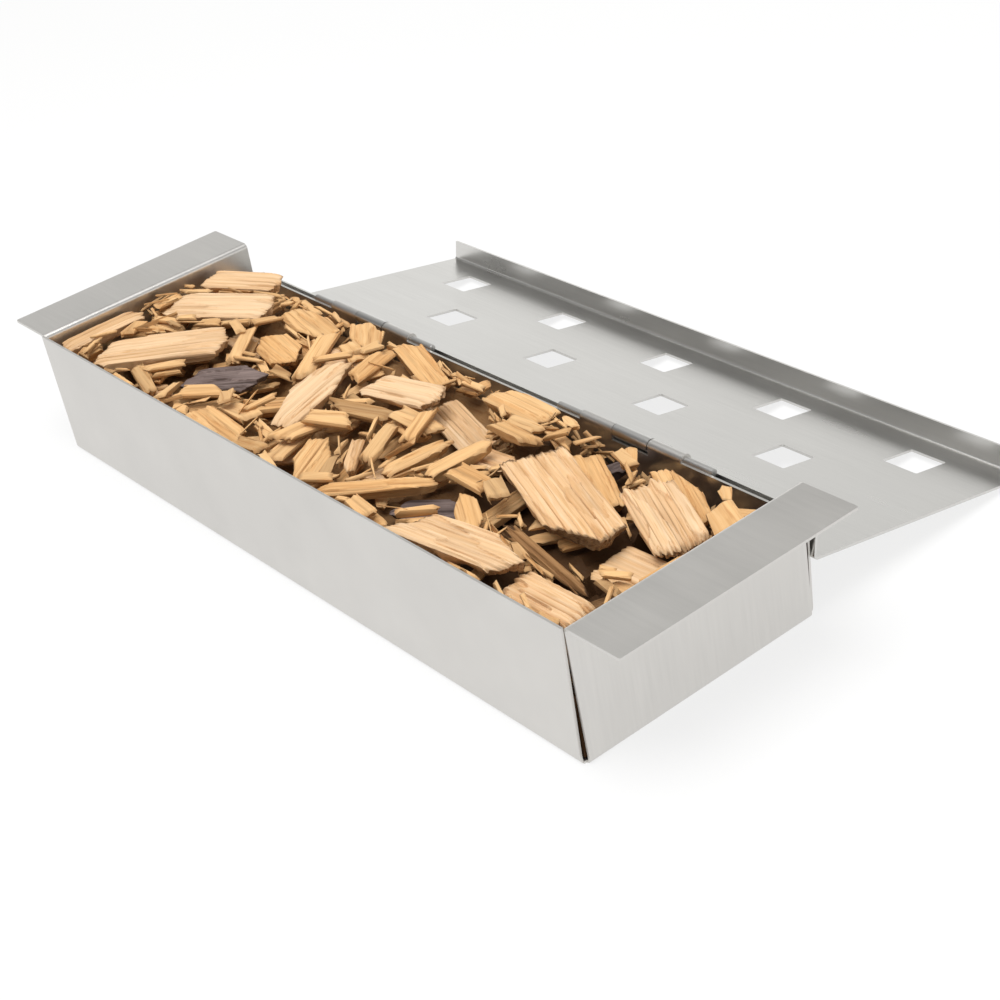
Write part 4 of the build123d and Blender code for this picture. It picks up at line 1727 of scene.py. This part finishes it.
# Studio
@dataclass
class Surroundings:
    """The pale light all round: a white horizon, a greyer ring over it, a bright overhead.

    Places are shares of a direction along x, y and up. A band is where a change begins and
    where it ends.
    """

    horizon_level: float = 1.08
    ring_level: float = 0.46
    overhead_level: float = 0.90
    ring_from: tuple[float, float] = (0.28, 0.44)
    ring_to: tuple[float, float] = (0.72, 0.92)
    blue_share: float = 0.99
    front_level: float = 0.15
    front_from: tuple[float, float] = (-0.35, 0.40)
    front_low: tuple[float, float] = (0.16, 0.36)
    front_high: tuple[float, float] = (0.70, 0.92)
    rear_fall: float = 0.16
    rear_along: tuple[float, float] = (-0.74, -0.48)
    rear_across: tuple[float, float] = (0.3, 0.5)

    def build(self) -> None:
        """Surround the scene with pale light.

        The wood and the floor are lit by the rings alone. What the steel mirrors is also
        darker towards the front and, on one side, at the rear.
        """
        world = bpy.data.worlds.new("pale_surroundings")
        world.use_nodes = True
        bpy.context.scene.world = world
        kit = NodeKit(world.node_tree)
        place = kit.node("ShaderNodeTexCoord").outputs["Generated"]
        parts = kit.node("ShaderNodeSeparateXYZ")
        kit.join(place, parts.inputs[0])
        diffuse = kit.node("ShaderNodeLightPath").outputs["Is Diffuse Ray"]
        mirrored = kit.math("SUBTRACT", 1.0, diffuse)
        front = kit.math("MULTIPLY", self.front(kit, parts.outputs), mirrored)
        rear = kit.math("MULTIPLY", self.rear(kit, parts.outputs), mirrored)
        grey = rgba((self.front_level,) * 3)
        fronted = kit.mix(front, self.rings(kit, parts.outputs["Z"]), grey)
        shaded = kit.mix(rear, fronted, rgba((0.0, 0.0, 0.0)))
        kit.join(shaded, world.node_tree.nodes["Background"].inputs["Color"])

    def rings(self, kit: NodeKit, height: bpy.types.NodeSocket) -> bpy.types.NodeSocket:
        """Colour the horizon, the ring and the overhead.

        Args:
            kit: The calls on the world's nodes.
            height: How far up a direction points.

        Returns:
            The colour.
        """
        ramp = kit.node("ShaderNodeValToRGB")
        stops = ramp.color_ramp.elements
        levels = (self.horizon_level, self.ring_level, self.ring_level, self.overhead_level)
        heights = (*self.ring_from, *self.ring_to)
        while len(stops) < len(levels):
            stops.new(heights[len(stops)])
        for stop, at, level in zip(stops, heights, levels):
            stop.position, stop.color = at, rgba((level, level, self.blue_share * level))
        kit.join(height, ramp.inputs[0])
        return ramp.outputs[0]

    def front(self, kit: NodeKit, parts: bpy.types.NodeOutputs) -> bpy.types.NodeSocket:
        """How much of the dark front shows in a direction.

        Args:
            kit: The calls on the world's nodes.
            parts: The direction's x, y and z.

        Returns:
            The share.
        """
        facing = kit.remap(parts["Y"], *self.front_from, 1.0, 0.0)
        rising = kit.remap(parts["Z"], *self.front_low, 0.0, 1.0)
        falling = kit.remap(parts["Z"], *self.front_high, 1.0, 0.0)
        return kit.math("MULTIPLY", kit.math("MULTIPLY", rising, falling), facing)

    def rear(self, kit: NodeKit, parts: bpy.types.NodeOutputs) -> bpy.types.NodeSocket:
        """How much darker a direction towards the rear is.

        Args:
            kit: The calls on the world's nodes.
            parts: The direction's x, y and z.

        Returns:
            The share.
        """
        along = kit.remap(parts["X"], *self.rear_along, 0.0, self.rear_fall)
        across = kit.remap(parts["Y"], *self.rear_across, 0.0, 1.0)
        return kit.math("MULTIPLY", along, across)


@dataclass
class Studio:
    """The floor, the soft light, the pale surroundings and the camera, in metres."""

    camera_place: tuple[float, float, float] = (0.53650, -0.31252, 0.37171)
    camera_target: tuple[float, float, float] = (0.01857, 0.02973, 0.0)
    camera_roll_deg: float = -10.813
    camera_clip: float = 0.01
    focal_mm: float = 74.17
    sensor_mm: float = 36.0
    floor_half: float = 4.0
    key_place: tuple[float, float, float] = (0.10, -0.22, 1.20)
    key_target: tuple[float, float, float] = (0.0, 0.0, 0.0)
    key_side: float = 0.9
    key_watts: float = 11.5

    def build(self) -> None:
        """Build the studio."""
        self.floor()
        Surroundings().build()
        self.key_light()
        self.camera()

    @staticmethod
    def aim(place: tuple, target: tuple) -> Quaternion:
        """The turn that points a light or a camera from a place to a target."""
        return (Vector(target) - Vector(place)).to_track_quat("-Z", "Y")

    def floor(self) -> None:
        """Lay the floor under the tray."""
        h = self.floor_half
        mesh = bpy.data.meshes.new("studio_floor")
        mesh.from_pydata([(-h, -h, 0), (h, -h, 0), (h, h, 0), (-h, h, 0)], [], [(0, 1, 2, 3)])
        mesh.materials.append(FloorFinish().make())
        made = bpy.data.objects.new("studio_floor", mesh)
        bpy.context.scene.collection.objects.link(made)

    def key_light(self) -> None:
        """Hang the square soft light over the box."""
        light = bpy.data.lights.new("key_softbox", "AREA")
        light.shape = "SQUARE"
        light.size = self.key_side
        light.energy = self.key_watts
        made = bpy.data.objects.new("key_softbox", light)
        made.location = self.key_place
        made.rotation_euler = self.aim(self.key_place, self.key_target).to_euler()
        bpy.context.scene.collection.objects.link(made)

    def camera(self) -> None:
        """Stand the camera where the photograph was taken from, turned a little on its axis."""
        lens = bpy.data.cameras.new("camera")
        lens.sensor_width = self.sensor_mm
        lens.lens = self.focal_mm
        lens.clip_start = self.camera_clip
        made = bpy.data.objects.new("camera", lens)
        aimed = self.aim(self.camera_place, self.camera_target).to_matrix()
        turn = aimed @ Matrix.Rotation(math.radians(self.camera_roll_deg), 3, "Z")
        made.matrix_world = Matrix.Translation(self.camera_place) @ turn.to_4x4()
        bpy.context.scene.collection.objects.link(made)
        bpy.context.scene.camera = made


def main() -> None:
    """Build the dressed smoker box and its studio."""
    logging.basicConfig(level=logging.INFO, format="%(name)s %(message)s")
    bpy.context.scene.view_settings.view_transform = "Standard"
    SheetMetal().build()
    Load().build()
    Studio().build()


if __name__ == "__main__":
    main()
